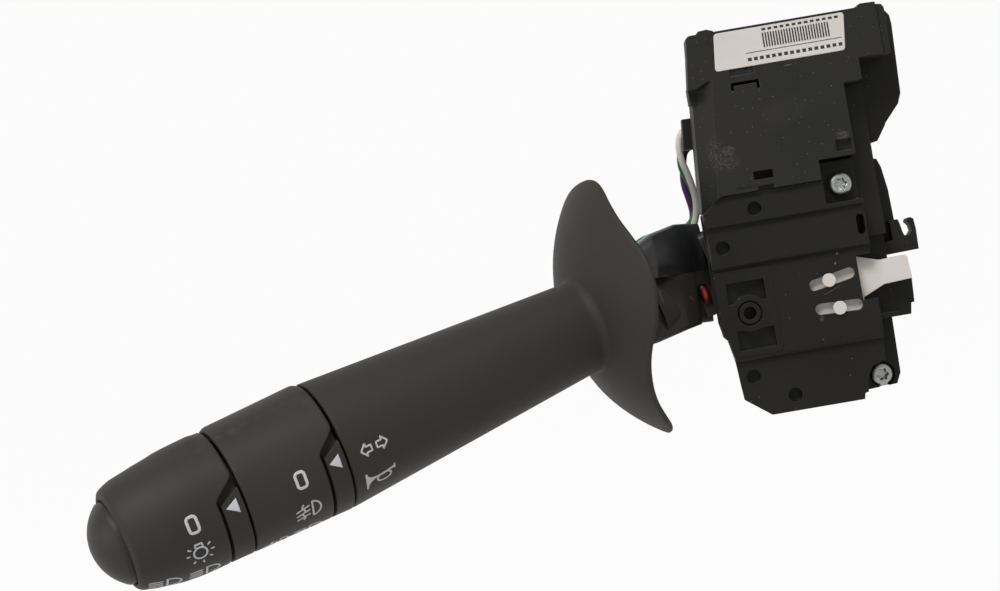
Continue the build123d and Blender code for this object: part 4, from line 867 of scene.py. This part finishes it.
def join_grids(name, grids):
    """One mesh from several grids closed across their columns, each with its two end rows closed as well."""
    points, faces, first = [], [], 0
    for grid in grids:
        rows, columns = grid.shape[:2]
        index = first + np.arange(rows * columns).reshape(rows, columns)
        wrapped = np.hstack([index, index[:, :1]])
        faces += np.stack([wrapped[:-1, :-1], wrapped[1:, :-1], wrapped[1:, 1:], wrapped[:-1, 1:]],
                          axis=-1).reshape(-1, 4).tolist()
        faces += [index[0].tolist(), index[-1][::-1].tolist()]
        points.append(grid.reshape(-1, 3))
        first += rows * columns
    return settled_mesh(name, np.vstack(points), faces, False)


def round_the_lever(at, turn, outline, relief=None):
    """A place on the lever for a print: across it the station falls, up it the angle falls."""
    turn = np.radians(turn)

    def place(across, above, lift):
        station = at - across
        angle = turn - above / outline(np.asarray(float(at)))
        radius = outline(station) + lift
        if relief:
            radius = radius + relief(station, angle)
        return on_lever(station, radius, angle)
    return place


def headlamp(shift, length, half_height):
    """A lamp's outline: a flat side closed by a half ellipse."""
    bow = np.linspace(-np.pi / 2, np.pi / 2, 16)
    shell = np.column_stack([shift + length * np.cos(bow), half_height * np.sin(bow)])
    return np.vstack([shell, shell[:1]])


zero = [stroke_strip(round_box(0.98, 1.66, 0.72), 0.66)]
lamp = [stroke_strip(circle((0, 0), 1.35, 1.35), 0.42),
        stroke_strip([(-0.75, 1.35), (-0.7, 2.15), (0.7, 2.15), (0.75, 1.35)], 0.42)]
lamp += [stroke_strip([(reach * np.cos(turn), reach * np.sin(turn)) for reach in (2.05, 2.95)], 0.4)
         for turn in np.radians((36, 0, -40, -84, -128, 180, 144))]
fog_lamp = [stroke_strip(headlamp(0.75, 1.75, 1.95), 0.42)]
fog_lamp += [stroke_strip([(0.15, height), (-2.9, height - 0.8)], 0.4) for height in (1.35, 0.2, -0.95)]
fog_lamp += [stroke_strip(smooth_line([(-1.0, 2.1), (-1.45, 1.3), (-0.95, 0.4), (-1.5, -0.5), (-1.05, -1.4),
                                       (-1.5, -2.3)], 24), 0.4)]
beam = [stroke_strip(headlamp(0.4, 2.7, 1.9), 0.45)]
beam += [stroke_strip([(-0.4, height), (-3.2, height)], 0.42) for height in (1.45, 0.55, -0.35, -1.25)]


def arrow(way):
    """An outlined arrow that points along its own x axis, one way or the other."""
    return np.array([(3.0, 0.0), (1.8, 1.35), (1.8, 0.62), (0.6, 0.62),
                     (0.6, -0.62), (1.8, -0.62), (1.8, -1.35), (3.0, 0.0)]) * (way, 1)


arrows = [stroke_strip(arrow(way), 0.4) for way in (1, -1)]
horn = [fill_strip([(-3.25, 2.2), (-2.9, 1.5), (-2.3, 0.85), (-1.2, 0.55), (0.6, 0.55), (3.3, 1.05)],
                   [(-3.25, -2.2), (-3.0, -1.5), (-2.5, -0.6), (-1.3, 0.0), (0.6, 0.0), (3.3, 0.45)]),
        stroke_strip([(-3.2, 2.2), (-3.2, -2.2)], 0.5), stroke_strip([(3.3, 1.5), (3.3, 0.2)], 0.4),
        stroke_strip(circle((0.75, -0.55), 1.6, 1.0), 0.42)]


def marker(outline, corners):
    """A filled triangle given by (station, angle) corners, as a strip between its point and its far side."""
    (top_at, top), (point_at, point), (low_at, low) = corners
    middle_at, middle = (top_at + low_at) / 2, (top + low) / 2
    reach = outline(np.asarray(middle_at))

    def local(at, turn):
        return (middle_at - at, np.radians(middle - turn) * reach)
    strip = fill_strip([local(point_at, point), local(top_at, top)],
                       [local(point_at, point + 0.2), local(low_at, low)])
    return strip, round_the_lever(middle_at, middle, outline)


# Name, body, strips, place with its station and its angle from the top
PRINTS = (
    ("arrow_print", "lever", arrows, round_the_lever(55.15, 106.0, tube_radius)),
    ("horn_print", "lever", horn, round_the_lever(55.3, 136.5, tube_radius)),
    ("fog_zero_print", "fog_ring", zero, round_the_lever(71.5, 105.8, ring_radius, fog_relief)),
    ("fog_lamp_print", "fog_ring", fog_lamp, round_the_lever(71.5, 137.0, ring_radius, fog_relief)),
    ("fog_pair_print_1", "fog_ring", beam, round_the_lever(71.8, 171.0, ring_radius, fog_relief)),
    ("fog_pair_print_2", "fog_ring", fog_lamp, round_the_lever(78.6, 171.0, ring_radius, fog_relief)),
    ("light_zero_print", "light_ring", zero, round_the_lever(94.4, 101.7, light_outline, light_relief)),
    ("light_lamp_print", "light_ring", lamp, round_the_lever(94.7, 129.6, light_outline, light_relief)),
    ("light_beam_print_1", "light_ring", beam, round_the_lever(94.4, 160.0, light_outline, light_relief)),
    ("light_beam_print_2", "light_ring", beam, round_the_lever(102.3, 161.0, light_outline, light_relief)),
)
for print_name, body, strips, place in PRINTS:
    mesh = join_grids(print_name, [strip_grid(strip, place) for strip in strips])
    add_piece(mesh, body, "white_print")
for print_name, corners in (
    ("fog_marker_print", ((62.7, 98.0), (65.1, 104.0), (62.75, 111.5))),
    ("light_marker_print", ((84.75, 95.5), (87.3, 101.5), (84.8, 109.5))),
):
    strip, place = marker(ring_radius, corners)
    add_piece(join_grids(print_name, [strip_grid(strip, place)]), "lever", "white_print")


# Label: a bare sticker with plain even bars and dashes, and no lettering

label_box = ((1.9, 29.9), (51.7, 59.7))


def on_cover(rise):
    """A place on the cover's flat front: x, z and the height above it."""
    def place(across, above, lift):
        return np.stack([across, -(cover_depth + rise + lift), above], axis=-1)
    return place


(label_left, label_right), (label_low, label_high) = label_box
outline = round_box((label_right - label_left) / 2, (label_high - label_low) / 2, 0.7)[:-1]
outline += ((label_left + label_right) / 2, (label_low + label_high) / 2)
outline[:, 0] += 0.12 * (outline[:, 1] - label_high)
middle = outline.mean(axis=0)
label_rows = [(0.0, -0.04), (1.0, -0.04), (1.0, 0.06), (0.994, 0.09), (0.0, 0.09)]
label_grid = np.array([np.column_stack([middle[0] + size * (outline[:, 0] - middle[0]),
                                        np.full(len(outline), -(cover_depth + rise)),
                                        middle[1] + size * (outline[:, 1] - middle[1])])
                       for size, rise in label_rows])
label_mesh = surface("label_plate", label_grid, False, True)
label_mesh.shade_flat()
add_piece(label_mesh, "housing", "label_paper")


def block(left, right, low, high):
    """A plain block of ink as a strip between its left and right sides."""
    return np.array([(left, low), (left, high)]), np.array([(right, low), (right, high)])


bars = [block(left, left + 0.32, 55.15, 58.25) for left in np.arange(12.0, 26.0, 0.58)]
dashes = [block(7.4, 29.2, 54.42, 54.56)]
dashes += [block(left, left + 0.85, 52.75, 53.45) for left in np.arange(8.2, 28.6, 1.3)]
dashes += [block(left, left + 0.85, 58.7, 59.2) for left in np.arange(12.1, 28.6, 1.3)]
label_marks = join_grids("label_bars", [strip_grid(strip, on_cover(0.085)) for strip in bars + dashes])
add_piece(label_marks, "housing", "label_ink")


# Floor, light and camera

floor_glow, ambient_strength, mirrored_strength = 0.96, 0.31, 0.75


def studio():
    """A pale floor that rises behind the part in a quarter round, two soft lamps and a white surround."""
    low = cad_box[0][2] - 0.06
    reach, bend, back = 6.0, 1.5, 2.0
    quarter = np.linspace(0, np.pi / 2, 24)
    depth = np.concatenate([[-reach], back + bend * np.sin(quarter), [back + bend]])
    height = np.concatenate([[low], low + bend * (1 - np.cos(quarter)), [low + 4 * bend]])
    across = np.array([-reach, reach])
    grid = np.stack(np.broadcast_arrays(across[None, :], depth[:, None], height[:, None]), axis=-1)
    material, tree, shader = new_material("floor_paint")
    shader.inputs["Base Color"].default_value = linear(226, 226, 225)
    shader.inputs["Roughness"].default_value = 0.9
    plain_white = add_node(tree, "ShaderNodeEmission")
    rays = add_node(tree, "ShaderNodeLightPath").outputs
    seen = calculate(tree, "MAXIMUM", rays["Is Camera Ray"], rays["Is Glossy Ray"])
    share = calculate(tree, "MULTIPLY", seen, floor_glow)
    mixed = add_node(tree, "ShaderNodeMixShader", {0: share, 1: shader.outputs[0], 2: plain_white.outputs[0]})
    tree.links.new(mixed.outputs[0], tree.nodes["Material Output"].inputs["Surface"])
    link(surface("floor", grid / MM), material)

    world = bpy.data.worlds.new("surround")
    bpy.context.scene.world = world
    world.use_nodes = True
    tree = world.node_tree
    background = tree.nodes["Background"]
    background.inputs["Color"].default_value = (1.0, 1.0, 1.0, 1.0)
    rays = add_node(tree, "ShaderNodeLightPath").outputs
    shine = map_range(tree, rays["Is Glossy Ray"], to_min=ambient_strength, to_max=mirrored_strength)
    strength = add_node(tree, "ShaderNodeMix", {
        0: rays["Is Camera Ray"], 2: shine, 3: 1.0}, data_type="FLOAT")
    tree.links.new(strength.outputs[0], background.inputs["Strength"])

    for name, place, size, power in (
        ("key_lamp", (-0.25, -0.75, 0.8), 0.35, 7.6),
        ("side_lamp", (-0.9, -0.45, -0.1), 0.6, 3.4),
    ):
        lamp = bpy.data.lights.new(name, "AREA")
        lamp.size = size
        lamp.energy = power
        holder = bpy.data.objects.new(name, lamp)
        holder.location = place
        holder.rotation_euler = (-Vector(place)).to_track_quat("-Z", "Y").to_euler()
        bpy.context.scene.collection.objects.link(holder)


def camera():
    """The photograph's view: level, square to the housing's front and rolled 9.7 degrees."""
    sensor = 36.0
    focal_px = 2113.0
    roll = np.radians(9.7)
    place = Vector((-52.0, -480.0, 12.7)) * MM
    data = bpy.data.cameras.new("camera")
    data.sensor_width = sensor
    data.lens = focal_px / PHOTO_SIZE[0] * sensor
    holder = bpy.data.objects.new("camera", data)
    right = Vector((np.cos(roll), 0, -np.sin(roll)))
    above = Vector((np.sin(roll), 0, np.cos(roll)))
    turned = Matrix((right, above, right.cross(above))).transposed()
    holder.matrix_world = Matrix.Translation(place) @ turned.to_4x4()
    bpy.context.scene.collection.objects.link(holder)
    bpy.context.scene.camera = holder


studio()
camera()
bpy.context.scene.view_settings.view_transform = "Standard"
